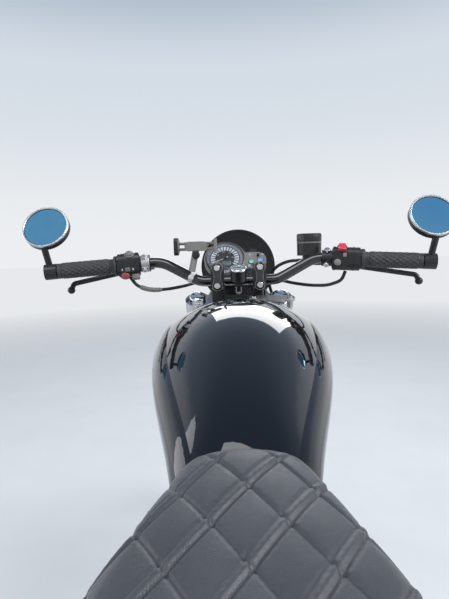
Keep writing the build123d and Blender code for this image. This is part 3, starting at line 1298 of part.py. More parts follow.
def side_stand():
    """The leg, folded back along the lower rail, with its eye and foot."""
    pivot, way = side_stand_axis()
    end = pivot + Vector(0, -SIDE_STAND_LENGTH, 0)
    leg = rod(pivot, end, 8)
    eye = rod(pivot - way * 8, pivot + way * 8, 11)
    foot = Plane(origin=end, x_dir=(0, 1, 0), z_dir=(0.62, 0, 0.9)) * rounded_box(46, 28, 8, 5)
    bore = rod(pivot - way * 20, pivot + way * 20, SIDE_PIN_R + RUNNING_GAP)
    return leg + eye + foot - bore


save(tyre(FRONT_RIM_BEAD_R, FRONT_TYRE_W, FRONT_TYRE_R, FRONT_AXLE_Y, FRONT_AXLE_Z), "front_tyre")
save(rim(FRONT_RIM_BEAD_R, 27, FRONT_AXLE_Y, FRONT_AXLE_Z), "front_rim")
save(front_hub(), "front_hub")
save(front_disc(), "front_disc")
save(tyre(REAR_RIM_BEAD_R, REAR_TYRE_W, REAR_TYRE_R, REAR_AXLE_Y, REAR_AXLE_Z), "rear_tyre")
save(rim(REAR_RIM_BEAD_R, 32, REAR_AXLE_Y, REAR_AXLE_Z), "rear_rim")
save(rear_hub(), "rear_hub")
save(rear_sprocket(), "rear_sprocket")
save(yokes(), "yokes")
save(both(stanchion()), "fork_stanchions")
save(both(fork_lower()), "fork_lowers")
save(front_axle(), "front_axle")
save(front_mudguard(), "front_mudguard")
save(brake_caliper(), "brake_caliper")
save(handlebar(), "handlebar")
save(bar_risers(), "bar_risers")
save(grips(), "grips")
save(mirrors(), "mirrors")
save(mirror_glasses(), "mirror_glasses")
save(left_switchgear(), "left_switchgear")
save(clutch_lever(), "clutch_lever")
save(right_switchgear(), "right_switchgear")
save(brake_master(), "brake_master")
save(gauge(), "gauge")
save(headlamp_shell(), "headlamp_shell")
save(headlamp_lens(), "headlamp_lens")
save(flyscreen(), "flyscreen")
save(phone_clamp(), "phone_clamp")
save(bar_clock(), "bar_clock")
save(control_cables(), "control_cables")
save(switch_loom(-1, LEFT_SWITCH_AT, LEFT_SWITCHGEAR_L), "left_loom")
save(switch_loom(1, RIGHT_SWITCH_AT, RIGHT_SWITCHGEAR_L), "right_loom")
save(frame_spine(), "frame_spine")
save(frame_cradle(), "frame_cradle")
save(frame_subframe(), "frame_subframe")
save(fuel_tank(), "fuel_tank")
save(seat_cushion(), "seat_cushion")
save(seat_pan(), "seat_pan")
save(tail_lamp(), "tail_lamp")
save(rear_mudguard(), "rear_mudguard")
save(engine_cases(), "engine_cases")
save(engine_barrels(), "engine_barrels")
save(engine_head(), "engine_head")
save(carburettors(), "carburettors")
save(exhaust_headers(), "exhaust_headers")
save(silencers(), "silencers")
save(swingarm(), "swingarm")
save(rear_axle(), "rear_axle")
save(rear_brake_plate(), "rear_brake_plate")
save(both(shock()), "rear_shocks")
save(drive_chain(), "drive_chain")
save(rearsets(), "rearsets")
save(battery_box(), "battery_box")
save(centre_stand(), "centre_stand")
save(stand_bracket(), "stand_bracket")
save(side_stand(), "side_stand")
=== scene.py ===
"""The looks of a cafe racer motorcycle: finishes, seat, instrument, controls, tread and small fittings."""

import json
import math

import bmesh
import bpy
import numpy as np
from mathutils import Matrix, Vector


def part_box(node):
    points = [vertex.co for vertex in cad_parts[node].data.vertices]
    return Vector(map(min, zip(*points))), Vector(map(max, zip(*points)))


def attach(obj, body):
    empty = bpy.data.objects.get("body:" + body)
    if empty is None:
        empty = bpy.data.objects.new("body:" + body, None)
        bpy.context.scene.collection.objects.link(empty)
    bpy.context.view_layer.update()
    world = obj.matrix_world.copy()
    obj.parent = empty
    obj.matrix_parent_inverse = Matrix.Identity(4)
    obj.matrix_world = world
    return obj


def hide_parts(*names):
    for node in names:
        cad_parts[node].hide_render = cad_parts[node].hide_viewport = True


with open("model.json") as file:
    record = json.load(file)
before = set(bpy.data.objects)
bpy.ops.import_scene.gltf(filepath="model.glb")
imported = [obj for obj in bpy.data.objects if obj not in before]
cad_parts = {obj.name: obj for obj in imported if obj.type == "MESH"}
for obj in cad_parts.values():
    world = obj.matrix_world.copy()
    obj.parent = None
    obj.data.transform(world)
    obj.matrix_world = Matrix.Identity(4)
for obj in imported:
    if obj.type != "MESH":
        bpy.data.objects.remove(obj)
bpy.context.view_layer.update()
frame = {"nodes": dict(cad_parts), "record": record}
NODES = frame["nodes"]

# Places are in metres. Sizes of forms, and distances from the bar, clamp and axles, are in millimetres
MM = 0.001
TURN = 2 * math.pi
RAKE = math.radians(27.0)
FORK_UP = Vector((0, -math.sin(RAKE), math.cos(RAKE)))
FORK_AHEAD = Vector((0, math.cos(RAKE), math.sin(RAKE)))
RIGHT, AHEAD, UP = Vector((1, 0, 0)), Vector((0, 1, 0)), Vector((0, 0, 1))
SIDES = (-1, 1)


# Camera

# The photograph's camera, in metres and degrees, in an image of 449 by 599 pixels
IMAGE_LONG_SIDE = 599
FOCAL_PIXELS = 450
SENSOR = 36.0
CLIP_START = 0.02
CAMERA_AT = Vector((-0.0031, -0.554, 1.034))
CAMERA_PITCH, CAMERA_YAW, CAMERA_ROLL = 6.63, 1.68, -1.70


def into_scene(name, data):
    """A new object of the scene."""
    obj = bpy.data.objects.new(name, data)
    bpy.context.scene.collection.objects.link(obj)
    return obj


def photo_camera():
    data = bpy.data.cameras.new("photo")
    data.sensor_fit = "AUTO"
    data.sensor_width = SENSOR
    data.lens = FOCAL_PIXELS * SENSOR / IMAGE_LONG_SIDE
    data.clip_start = CLIP_START
    camera = into_scene("photo", data)
    camera.matrix_world = Matrix.Translation(CAMERA_AT)
    for degrees, axis in ((CAMERA_YAW, "Z"), (90 - CAMERA_PITCH, "X"), (CAMERA_ROLL, "Z")):
        camera.matrix_world = camera.matrix_world @ Matrix.Rotation(math.radians(degrees), 4, axis)
    bpy.context.scene.camera = camera


photo_camera()


# Reading the frame

FLAT = 0.8
SINK = 0.3


def points_of(node, side=0):
    """Vertices of a CAD node, or of its half on one side, as an array."""
    co = np.array([v.co for v in NODES[node].data.vertices], float)
    return co if side == 0 else co[co[:, 0] * side > 0]


def middle(node):
    """Centre of a node's box."""
    co = points_of(node)
    return Vector((co.min(0) + co.max(0)) / 2)


def flat_face(node, toward, side):
    """Area-weighted centre and normal of the flat face, on one side, that looks toward a direction."""
    toward = toward.normalized()
    found = {}
    for p in NODES[node].data.polygons:
        if p.normal.dot(toward) < FLAT or p.center.x * side < 0:
            continue
        key = tuple(round(c, 2) for c in p.normal)
        area, centre = found.get(key, (0.0, Vector()))
        found[key] = (area + p.area, centre + p.center * p.area)
    key = max(found, key=lambda k: found[k][0])
    area, centre = found[key]
    return centre / area, Vector(key).normalized()


def placed(origin, z_way, x_way=RIGHT):
    """A matrix whose local z looks along z_way and whose local x is as near x_way as can be."""
    z = Vector(z_way).normalized()
    y = z.cross(Vector(x_way)).normalized()
    m = Matrix((y.cross(z), y, z)).transposed().to_4x4()
    m.translation = origin
    return m


def moved(place, x=0.0, y=0.0, z=0.0, turn=0.0):
    """A place moved along its own axes, and turned about its z by an angle in degrees."""
    return place @ Matrix.Translation(Vector((x, y, z)) * MM) @ Matrix.Rotation(math.radians(turn), 4, "Z")


def landed(start, way, *nodes, x_way=UP):
    """A place on the first of the nodes that a ray meets, sunk so that nothing hovers, or None."""
    hits = [NODES[node].ray_cast(start, way.normalized()) for node in nodes]
    hits = [hit for hit in hits if hit[0]]
    if not hits:
        return None
    _, place, normal, _ = min(hits, key=lambda hit: (hit[1] - start).length)
    return placed(place - normal * SINK * MM, normal, x_way)


FRONT_AXLE = middle("front_rim")
REAR_AXLE = middle("rear_rim")


def polar(radius, a):
    return radius * math.cos(a), radius * math.sin(a)


def spot(x, y, z):
    """A place from the ground below the model's origin."""
    return Vector((x, y, z)) * MM


def fork(x, up, ahead):
    """A place up the fork from the front axle and ahead of its legs."""
    return FRONT_AXLE + (RIGHT * x + FORK_UP * up + FORK_AHEAD * ahead) * MM


# The handlebar: the middle of its clamps, then its turn and end on the right from there
CLAMP = fork(0, 712, -4)
BAR_TURN = (162, 6, 43)
BAR_END = (372.5, -30, 31)
BAR_R = 11.1


def from_clamp(x, ahead, rise):
    return CLAMP + spot(x, ahead, rise)


def bar_axes(side):
    """The bar's end, and the directions outward, back to the rider and up at the grip."""
    turn, end = (from_clamp(side * x, ahead, rise) for x, ahead, rise in (BAR_TURN, BAR_END))
    out = (end - turn).normalized()
    up = (UP - out * out.z).normalized()
    return end, out, up.cross(out) * -side, up


def by_bar(side, inward, back=0.0, up=0.0):
    """A place given from the bar's end: how far inward, towards the rider and up."""
    end, out, back_way, up_way = bar_axes(side)
    return end + (back_way * back + up_way * up - out * inward) * MM


def bar_way(side, out=0.0, back=0.0, up=0.0):
    """A direction given along the grip, towards the rider and up."""
    _, out_way, back_way, up_way = bar_axes(side)
    return (out_way * out + back_way * back + up_way * up).normalized()


def on_bar(side, inward):
    """A place on the bar's axis: local z points out along the grip, local x up."""
    return placed(by_bar(side, inward), bar_way(side, out=1), bar_way(side, up=1))


# Materials

GRAIN_DEPTH = 0.0004
EDGE_SAMPLES = 4


def feed(tree, node, inputs):
    """Links or sets a node's inputs, given by name or place."""
    for key, value in inputs.items():
        if isinstance(value, bpy.types.NodeSocket):
            tree.links.new(value, node.inputs[key])
        else:
            node.inputs[key].default_value = value


def grow(tree, kind, inputs, output, **settings):
    """The output of a new node."""
    node = tree.nodes.new("ShaderNode" + kind)
    for key, value in settings.items():
        setattr(node, key, value)
    feed(tree, node, inputs)
    return node.outputs[output]


def shader(name):
    mat = bpy.data.materials.new(name)
    mat.use_nodes = True
    return mat, mat.node_tree, mat.node_tree.nodes["Principled BSDF"]


def noise(tree, scale, detail=4.0):
    """A noise texture in object space."""
    at = grow(tree, "TexCoord", {}, "Object")
    return grow(tree, "TexNoise", {"Scale": scale, "Detail": detail, "Roughness": 0.55, "Vector": at}, "Fac")


def spread(tree, source, low, high, start=0.3, end=0.7):
    """Maps a range of values to another."""
    ends = {"From Min": start, "From Max": end, "To Min": low, "To Max": high}
    return grow(tree, "MapRange", {"Value": source, **ends}, "Result")


def patchy(tree, scale, first, second, detail=4.0):
    """Two colours in soft patches."""
    share = spread(tree, noise(tree, scale, detail), 0, 1)
    return grow(tree, "Mix", {"Factor": share, 6: (*first, 1), 7: (*second, 1)}, 2, data_type="RGBA")


def bumped(tree, bsdf, height, strength, distance, before=None):
    """Adds a bump to a shader, after another bump if there is one."""
    inputs = {"Strength": strength, "Distance": distance, "Height": height}
    if before:
        inputs["Normal"] = before
    normal = grow(tree, "Bump", inputs, "Normal")
    feed(tree, bsdf, {"Normal": normal})
    return normal


def finish_of(name, colour, rough, metal=0.0, vary=0.25, tint=0.85, patch=18.0, grain=0.0, grain_size=900.0,
              coat=0.0, coat_rough=0.03, edge=0.0, specular=0.5):
    """A surface with patchy colour and roughness, and a fine grain."""
    mat, tree, bsdf = shader(name)
    smear = spread(tree, noise(tree, patch * 3.1, 6.0), rough * (1 - vary), min(1.0, rough * (1 + vary)))
    feed(tree, bsdf, {"Base Color": patchy(tree, patch, [c * tint for c in colour], colour),
                      "Roughness": smear, "Metallic": metal, "Specular IOR Level": specular})
    if coat:
        feed(tree, bsdf, {"Coat Weight": coat, "Coat Roughness": coat_rough})
    before = None
    if edge:
        before = grow(tree, "Bevel", {"Radius": edge}, "Normal", samples=EDGE_SAMPLES)
        feed(tree, bsdf, {"Normal": before})
    if grain:
        bumped(tree, bsdf, noise(tree, grain_size, 3.0), grain, GRAIN_DEPTH, before)
    return mat


# Finishes: colour and roughness, then what differs from a plain finish
FINISHES = {
    "tank_black": ((0.003, 0.004, 0.007), 0.05, dict(vary=0.5, coat=0.8, coat_rough=0.008, specular=0.15)),
    "gloss_black": ((0.007, 0.007, 0.008), 0.12, dict(coat=0.9, coat_rough=0.02, specular=0.3)),
    "frame_black": ((0.010, 0.010, 0.011), 0.22, dict(coat=0.4, grain=0.05, edge=0.0006)),
    "satin_black": ((0.012, 0.012, 0.013), 0.36, dict(grain=0.10, edge=0.0005)),
    "engine_black": ((0.018, 0.018, 0.019), 0.45, dict(grain=0.25, grain_size=1400, edge=0.0006)),
    "black_plastic": ((0.014, 0.014, 0.015), 0.40, dict(grain=0.16, grain_size=2200, edge=0.0004)),
    "grey_plastic": ((0.24, 0.235, 0.22), 0.48, dict(grain=0.15, grain_size=2200, edge=0.0004)),
    "gauge_housing": ((0.190, 0.184, 0.170), 0.36, dict(grain=0.10, grain_size=2200, edge=0.0005)),
    "grip_rubber": ((0.050, 0.050, 0.051), 0.55, dict(grain=0.25, grain_size=1600)),
    "black_rubber": ((0.014, 0.014, 0.014), 0.50, dict(grain=0.15, grain_size=1500)),
    "tyre": ((0.021, 0.021, 0.021), 0.78, dict(tint=0.7, patch=30, grain=0.35, grain_size=1100)),
    "polished_rim": ((0.76, 0.76, 0.77), 0.12, dict(metal=1.0, tint=0.95, grain=0.01)),
    "polished_alloy": ((0.64, 0.64, 0.65), 0.20, dict(metal=1.0, tint=0.90, grain=0.04, edge=0.0006)),
    "raw_alloy": ((0.56, 0.56, 0.55), 0.44, dict(metal=1.0, tint=0.80, patch=60, grain=0.2, edge=0.0005)),
    "satin_alloy": ((0.62, 0.62, 0.62), 0.30, dict(metal=1.0, tint=0.88, grain=0.08, edge=0.0006)),
    "disc_steel": ((0.50, 0.50, 0.51), 0.27, dict(metal=1.0, tint=0.94, vary=0.10, grain=0.02, patch=12)),
    "bright_steel": ((0.72, 0.72, 0.74), 0.20, dict(metal=1.0, tint=0.88, grain=0.04, edge=0.0003)),
    "chain_steel": ((0.36, 0.33, 0.28), 0.38, dict(metal=1.0, tint=0.7, patch=120, grain=0.2)),
    "hard_chrome": ((0.86, 0.86, 0.88), 0.05, dict(metal=1.0, tint=0.96, vary=0.5)),
    "horn_red": ((0.48, 0.10, 0.10), 0.42, dict(grain=0.1)),
    "kill_red": ((0.66, 0.035, 0.06), 0.38, dict(grain=0.1)),
    "print_pale": ((0.70, 0.73, 0.75), 0.5, {}),
    "dial_blue": ((0.17, 0.20, 0.26), 0.45, dict(patch=40, tint=0.8)),
    "dial_dark": ((0.018, 0.019, 0.022), 0.40, dict(patch=40)),
    "display": ((0.20, 0.25, 0.27), 0.30, dict(patch=90, tint=0.8)),
    "clock_face": ((0.42, 0.45, 0.43), 0.35, dict(patch=60)),
    "lens_green": ((0.20, 0.50, 0.38), 0.25, dict(coat=0.5)),
    "lens_blue": ((0.20, 0.34, 0.62), 0.25, dict(coat=0.5)),
    "lens_grey": ((0.26, 0.40, 0.40), 0.25, dict(coat=0.5)),
    "lens_pink": ((0.50, 0.20, 0.22), 0.25, dict(coat=0.5)),
    "nylon": ((0.66, 0.66, 0.62), 0.45, dict(grain=0.05)),
    "ceramic": ((0.78, 0.77, 0.73), 0.25, dict(coat=0.5)),
    "filter_gauze": ((0.09, 0.09, 0.095), 0.42, dict(metal=0.6, grain=0.8, grain_size=1800)),
    "brass": ((0.60, 0.43, 0.20), 0.30, dict(metal=1.0, grain=0.05)),
}
MATERIALS = {name: finish_of(name, colour, rough, **more) for name, (colour, rough, more) in FINISHES.items()}


def glass(name, colour, rough=0.0, clear=1.0, ior=1.45):
    mat, tree, bsdf = shader(name)
    smear = spread(tree, noise(tree, 40), rough, rough + 0.02)
    feed(tree, bsdf, {"Transmission Weight": clear, "IOR": ior, "Roughness": smear,
                      "Base Color": patchy(tree, 30, colour, [c * 0.97 for c in colour])})
    return mat


def mirror_painted_sky():
    """Mirror glass whose blue colour is a painted reflection of a blue sky."""
    mat, tree, bsdf = shader("mirror_glass")
    # Painted reflection: the two blues stand in for the sky seen in the mirrors, since the surround here is
    # pale
    colour = patchy(tree, 9, (0.26, 0.70, 1.0), (0.40, 0.86, 1.0), 2)
    feed(tree, bsdf, {"Base Color": colour, "Metallic": 1.0,
                      "Roughness": spread(tree, noise(tree, 60), 0.01, 0.04)})
    return mat


def leather():
    """Charcoal leather with a pebbled grain, soft creases and a sheen."""
    mat, tree, bsdf = shader("quilted_leather")
    at = grow(tree, "TexCoord", {}, "Object")
    cells = grow(tree, "TexVoronoi", {"Scale": 620, "Vector": at}, "Distance", feature="DISTANCE_TO_EDGE")
    wobble = noise(tree, 160, 5)
    feed(tree, bsdf, {"Base Color": patchy(tree, 14, (0.040, 0.043, 0.049), (0.054, 0.058, 0.066), 6),
                      "Roughness": spread(tree, wobble, 0.36, 0.50),
                      "Sheen Weight": 0.10, "Sheen Roughness": 0.4})
    pebbles = bumped(tree, bsdf, spread(tree, cells, 0, 1, 0.0, 0.25), 0.25, 0.0003)
    bumped(tree, bsdf, wobble, 0.18, 0.0005, pebbles)
    return mat


MATERIALS["lamp_glass"] = glass("lamp_glass", (0.97, 0.98, 1.0))
MATERIALS["dial_glass"] = glass("dial_glass", (0.97, 0.98, 0.99), ior=1.2)
MATERIALS["smoked_screen"] = glass("smoked_screen", (0.045, 0.048, 0.05), clear=0.8)
MATERIALS["red_lens"] = glass("red_lens", (0.62, 0.015, 0.012), rough=0.05, clear=0.4)
MATERIALS["mirror_glass"] = mirror_painted_sky()
MATERIALS["quilted_leather"] = leather()


def smooth(mesh, angle=32):
    """Smooth shading, with edges sharper than the angle kept crisp."""
    for p in mesh.polygons:
        p.use_smooth = True
    mesh.set_sharp_from_angle(angle=math.radians(angle))


# Every CAD node gets the finish of its own slot
SLOTS = set()
for part in frame["record"]["subparts"]:
    obj = NODES[part["node"]]
    for row in obj.material_slots:
        row.link = "OBJECT"
        row.material = MATERIALS[part["material_slot"]]
    smooth(obj.data)
    SLOTS.add(part["material_slot"])


# Building meshes


def hexed(a):
    """How far a hexagon's edge is from its centre at an angle, for corners at a distance of 1."""
    return math.cos(math.pi / 6) / math.cos((a + math.pi / 6) % (math.pi / 3) - math.pi / 6)


def knurled(count, depth):
    """The shape of a ring with ripples round it."""
    return lambda a: 1 + depth * math.cos(count * a)


class Shape:
    """Vertices and faces gathered from simple forms and made into one piece; a form returns the shape."""

    def __init__(self):
        self.verts, self.faces = [], []

    def add(self, verts, faces):
        base = len(self.verts)
        self.verts += verts
        self.faces += [[base + i for i in f] for f in faces]
        return self

    def grid(self, rows, capped=True, closed=False):
        """Rings of points joined in order; closed joins the last to the first, and capped fills the ends."""
        width, count = len(rows[0]), len(rows)
        faces = []
        for i in range(count if closed else count - 1):
            low, high = i * width, (i + 1) % count * width
            for k in range(width):
                n = (k + 1) % width
                faces.append([low + k, low + n, high + n, high + k])
        if capped and not closed:
            faces += [list(range(width))[::-1], [(count - 1) * width + k for k in range(width)]]
        return self.add([p for row in rows for p in row], faces)

    def lathe(self, place, profile, count=48, closed=False):
        """profile lists (radius, z) corners, turned about the place's z. A third value shapes the ring."""
        rows = []
        for radius, z, *shaped in profile:
            row = []
            for k in range(count):
                a = TURN * k / count
                x, y = polar(radius * (shaped[0](a) if shaped else 1), a)
                row.append(place @ (Vector((x, y, z)) * MM))
            rows.append(row)
        return self.grid(rows, closed=closed)

    def prism(self, place, outline, low, high, bevel=0.0):
        """An outline of (x, y) corners, extruded between two heights, its top edge bevelled."""
        cx, cy = (sum(values) / len(outline) for values in zip(*outline))
        span = max(math.hypot(x - cx, y - cy) for x, y in outline)
        rings = [(1.0, low), (1.0, high - bevel)] + ([(1 - bevel / span, high)] if bevel else [])
        return self.grid([[place @ (Vector((cx + (x - cx) * share, cy + (y - cy) * share, z)) * MM)
                           for x, y in outline] for share, z in rings])

    def plate(self, place, size, low, high, bevel=0.0):
        """A rounded rectangle with its width, height and corner radius, extruded."""
        return self.prism(place, rounded(*size), low, high, bevel)

    def tube(self, points, radii, count=12):
        """A round tube through places, closed at both ends, with a radius for each."""
        last = len(points) - 1
        normal, rows = None, []
        for i, (p, radius) in enumerate(zip(points, radii)):
            way = (points[min(i + 1, last)] - points[max(i - 1, 0)]).normalized()
            if normal is None:
                normal = way.orthogonal().normalized()
            normal = (normal - way * normal.dot(way)).normalized()
            other = way.cross(normal)
            turns = [polar(radius * MM, TURN * k / count) for k in range(count)]
            rows.append([p + normal * x + other * y for x, y in turns])
        return self.grid(rows)

    def socket_head(self, place, radius, height):
        """A round bolt head with a hexagon socket."""
        edge, inner, floor = radius * 0.12, radius * 0.56, height * 0.35
        return self.lathe(place, [(radius, 0), (radius, height - edge), (radius - edge, height),
                                  (inner, height, hexed), (inner, floor, hexed), (inner * 0.2, floor)], 24)

    def hex_head(self, place, radius, height):
        """A hexagon bolt head on its washer."""
        washer = height * 0.22
        return self.lathe(place, [(radius * 1.3, 0), (radius * 1.3, washer), (radius, washer, hexed),
                                  (radius, height * 0.82, hexed), (radius * 0.84, height),
                                  (radius * 0.2, height)], 24)

    def cap_nut(self, place, radius, height):
        """A domed hexagon nut on its washer."""
        washer, dome = height * 0.14, radius * 0.82
        profile = [(radius * 1.3, 0), (radius * 1.3, washer), (radius, washer, hexed),
                   (radius, height * 0.5, hexed), (dome, height * 0.56)]
        for step in range(1, 6):
            r, rise = polar(1, math.pi / 2 * step / 6)
            profile.append((dome * r, height * (0.56 + 0.44 * rise)))
        return self.lathe(place, profile, 24)

    def button(self, place, radius, height, dome=0.0):
        """A round button with a soft edge, flat or domed."""
        edge = min(radius, height) * 0.3
        profile = [(radius, 0), (radius, height - edge), (radius - edge * 0.3, height - edge * 0.3),
                   (radius - edge, height)]
        for step in range(1, 5):
            r = (radius - edge) * (1 - step / 4.5)
            profile.append((r, height + dome * (1 - (r / radius) ** 2)))
        return self.lathe(place, profile, 32)

    def ring(self, place, inner, outer, low, high, count=64):
        """A flat ring with softened outer and inner edges."""
        edge = min(outer - inner, high - low) * 0.25
        return self.lathe(place, [(inner, low), (outer, low), (outer, high - edge), (outer - edge, high),
                                  (inner + edge, high), (inner, high - edge)], count, True)

    def lens(self, place, radius, low, rise, count, steps):
        """A shallow dome of glass."""
        rows = [polar(1, math.pi / 2 * k / steps) for k in range(steps)]
        dome = [(radius * r, low + rise * z) for r, z in rows] + [(0.5, low + rise)]
        return self.lathe(place, dome, count)

    def piece(self, name, material, body="steering", slot=None, angle=32, replaces=()):
        """The finished object, riding on a body."""
        mesh = bpy.data.meshes.new(name)
        mesh.from_pydata([tuple(v) for v in self.verts], [], self.faces)
        mesh.validate()
        bm = bmesh.new()
        bm.from_mesh(mesh)
        bmesh.ops.recalc_face_normals(bm, faces=bm.faces)
        bm.to_mesh(mesh)
        bm.free()
        smooth(mesh, angle)
        obj = into_scene(name, mesh)
        mesh.materials.append(MATERIALS[material])
        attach(obj, body)
        if replaces:
            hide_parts(*replaces)
        return obj


def on_each(name, material, places, form, *sizes, **more):
    """One piece of a like form on each of the places, leaving out places that met nothing."""
    shape = Shape()
    for place in places:
        if place is not None:
            form(shape, place, *sizes)
    if shape.verts:
        shape.piece(name, material, **more)


def bolts(name, places, head, radius, height, body="steering"):
    on_each(name, "bright_steel", places, head, radius, height, body=body)


def rounded(width, height, corner, steps=5):
    """Corners of a rounded rectangle about (0, 0)."""
    out = []
    for quarter, (sx, sy) in enumerate(((1, 1), (-1, 1), (-1, -1), (1, -1))):
        for step in range(steps + 1):
            x, y = polar(corner, math.pi / 2 * (quarter + step / steps))
            out.append((sx * (width / 2 - corner) + x, sy * (height / 2 - corner) + y))
    return out


def smoothstep(value):
    value = min(1.0, max(0.0, value))
    return value * value * (3 - 2 * value)


def bell(x, width, power=2):
    """1 at 0, fading to nothing a few widths away."""
    return math.exp(-(x / width) ** power)


# Seat: quilted leather over foam

# Lengths on the seat are in metres
SEAT_ROW = 0.0036
SEAT_TOP_COLUMNS, SEAT_BASE_COLUMNS = 84, 26
SEAT_NOSE_R, SEAT_NOSE_ROWS = 0.014, 7
SEAT_TAIL_R, SEAT_TAIL_ROWS = 0.022, 8
SEAT_END_CUT = 0.0004
SEAT_INSET, SEAT_PUFF = 0.0016, 0.0042
# How far the ends bulge, and the rings that fill them
END_BULGE, END_RINGS = 0.003, 4
# Quilting: the seams' spacing over the surface and along the seat, and where a seam crosses the middle
SEAM_ACROSS, SEAM_ALONG, SEAM_CROSS_Y = 0.0575, 0.078, -0.209
SEAM_GAP = 1 / math.hypot(1 / SEAM_ACROSS, 1 / SEAM_ALONG)
SEAM_PIN = 0.0030
QUILT_FADE = 0.030
PILLOW_FULLNESS = 0.55
# The padding's share that is formed before the cloth is blown up
FORMED_FIRST = 0.45
CLOTH_FRAMES, CLOTH_CAP, CLOTH_PRESSURE = 16, 0.0032, 4
# A distance from the seat's middle that stands for a place off its top
OFF = 9.0


class Cutter:
    """Cuts a CAD node's mesh with planes across one axis."""

    def __init__(self, node, axis):
        self.axis = axis
        self.others = [k for k in range(3) if k != axis]
        mesh = NODES[node].data
        mesh.calc_loop_triangles()
        places = np.array([v.co for v in mesh.vertices], float)
        self.points, index = np.unique(np.round(places, 6), axis=0, return_inverse=True)
        index = index.reshape(-1)
        self.triangles = np.array([[index[i] for i in t.vertices] for t in mesh.loop_triangles])

    def outline(self, level):
        """The closed outline at a level, as ordered points on the other two axes."""
        ahead = self.points[:, self.axis] > level
        sides = ahead[self.triangles]
        links, places = {}, {}
        for tri in self.triangles[sides.any(1) & ~sides.all(1)]:
            ends = []
            for a, b in ((tri[0], tri[1]), (tri[1], tri[2]), (tri[2], tri[0])):
                if ahead[a] == ahead[b]:
                    continue
                key = (min(a, b), max(a, b))
                ends.append(key)
                start, end = self.points[key[0]], self.points[key[1]]
                share = (level - start[self.axis]) / (end[self.axis] - start[self.axis])
                places[key] = (start + (end - start) * share)[self.others]
            if len(set(ends)) == 2:
                links.setdefault(ends[0], []).append(ends[1])
                links.setdefault(ends[1], []).append(ends[0])
        loop, before = [next(iter(links))], None
        while True:
            onward = [key for key in links[loop[-1]] if key != before]
            before = loop[-1]
            if not onward or onward[0] == loop[0] or len(loop) > len(links):
                return np.array([places[key] for key in loop])
            loop.append(onward[0])


def lengths_along(chain):
    """How far each point of a chain is along it."""
    return np.concatenate([[0], np.cumsum(np.linalg.norm(np.diff(chain, axis=0), axis=1))])


def resampled(chain, count):
    """A chain of points, shared out evenly into count runs."""
    at = lengths_along(chain)
    want = np.linspace(0, at[-1], count + 1)
    return np.stack([np.interp(want, at, column) for column in chain.T], axis=1)


def seat_rows(low_y, high_y):
    """Where the rows lie from front to back, and how far each is drawn in."""
    rows = []
    for step in range(SEAT_NOSE_ROWS):
        x, y = polar(SEAT_NOSE_R, math.pi / 2 * step / SEAT_NOSE_ROWS)
        rows.append((high_y - SEAT_NOSE_R + x, SEAT_NOSE_R - y))
    start, end = high_y - SEAT_NOSE_R, low_y + SEAT_TAIL_R
    count = int((start - end) / SEAT_ROW)
    rows += [(start + (end - start) * k / count, 0.0) for k in range(count + 1)]
    for step in range(1, SEAT_TAIL_ROWS + 1):
        x, y = polar(SEAT_TAIL_R, math.pi / 2 * step / SEAT_TAIL_ROWS)
        rows.append((end - y, SEAT_TAIL_R - x))
    return rows


def seat_form(low, high):
    """The cover's plain form: its rings of points and, for each ring, the distances over the top."""
    cutter = Cutter("seat_cushion", 1)
    rings, marks = [], []
    for y, drawn in seat_rows(low.y, high.y):
        cut = cutter.outline(min(max(y, low.y + SEAT_END_CUT), high.y - SEAT_END_CUT))
        left, right = int(cut[:, 0].argmin()), int(cut[:, 0].argmax())
        cut = np.roll(cut, -left, axis=0)
        right = (right - left) % len(cut)
        chains = [cut[:right + 1], np.concatenate([cut[right:], cut[:1]])[::-1]]
        if chains[0][:, 1].mean() < chains[1][:, 1].mean():
            chains.reverse()
        top = resampled(chains[0], SEAT_TOP_COLUMNS)
        ring = np.concatenate([top, resampled(chains[1][::-1], SEAT_BASE_COLUMNS)[1:-1]])
        centre = np.array([0.0, (ring[:, 1].min() + ring[:, 1].max()) / 2])
        half = (ring.max(0) - ring.min(0)) / 2
        inset = drawn + SEAT_INSET
        ring = centre + (ring - centre) * (1 - inset / np.maximum(half, inset * 1.2))
        over = lengths_along(top)
        rings.append([Vector((x, y, z)) for x, z in ring])
        marks.append(over - over[-1] / 2)
    return rings, marks


def seam_places(over, y):
    """Signed distances from the nearest seam of each family."""
    along = (y - SEAM_CROSS_Y) / SEAM_ALONG
    first, second = over / SEAM_ACROSS - along, over / SEAM_ACROSS + along
    return (first - round(first)) * SEAM_GAP, (second - round(second)) * SEAM_GAP


def pillow(over, y):
    """How far the padding stands up between the seams, 0 to 1."""
    first, second = seam_places(over, y)
    first, second = (math.sin(math.pi * along / SEAM_GAP) for along in (first, second))
    return abs(first * second) ** PILLOW_FULLNESS


def seam_profile(over, y):
    """The sewn seams: a flat welt with a groove beside it one way, a narrow groove the other, and puckers."""
    first, second = seam_places(over, y)
    welt = 0.0016 * bell(first + 0.0008, 0.0030, 4)
    grooves = 0.0024 * bell(first - 0.0042, 0.0015) + 0.0010 * bell(first + 0.0052, 0.0016)
    grooves += 0.0019 * bell(second, 0.0016)
    pucker = 0.00012 * math.sin(TURN * y / 0.0062) * bell(min(abs(first), abs(second)), 0.006)
    return welt - grooves + pucker


def quilt_share(over, half, y, low_y, high_y):
    """Fades the quilting out at the nose, the tail and the edge seam."""
    return math.prod(smoothstep(d / QUILT_FADE) for d in (half - abs(over), high_y - y, y - low_y))


def raised(mesh, tags, ends, height):
    """Moves the cover's vertices out where it is quilted, by a height for each place."""
    normals = [v.normal.copy() for v in mesh.vertices]
    for v, normal, (over, half) in zip(mesh.vertices, normals, tags):
        v.co += normal * (quilt_share(over, half, v.co.y, *ends) * height(over, v.co.y))


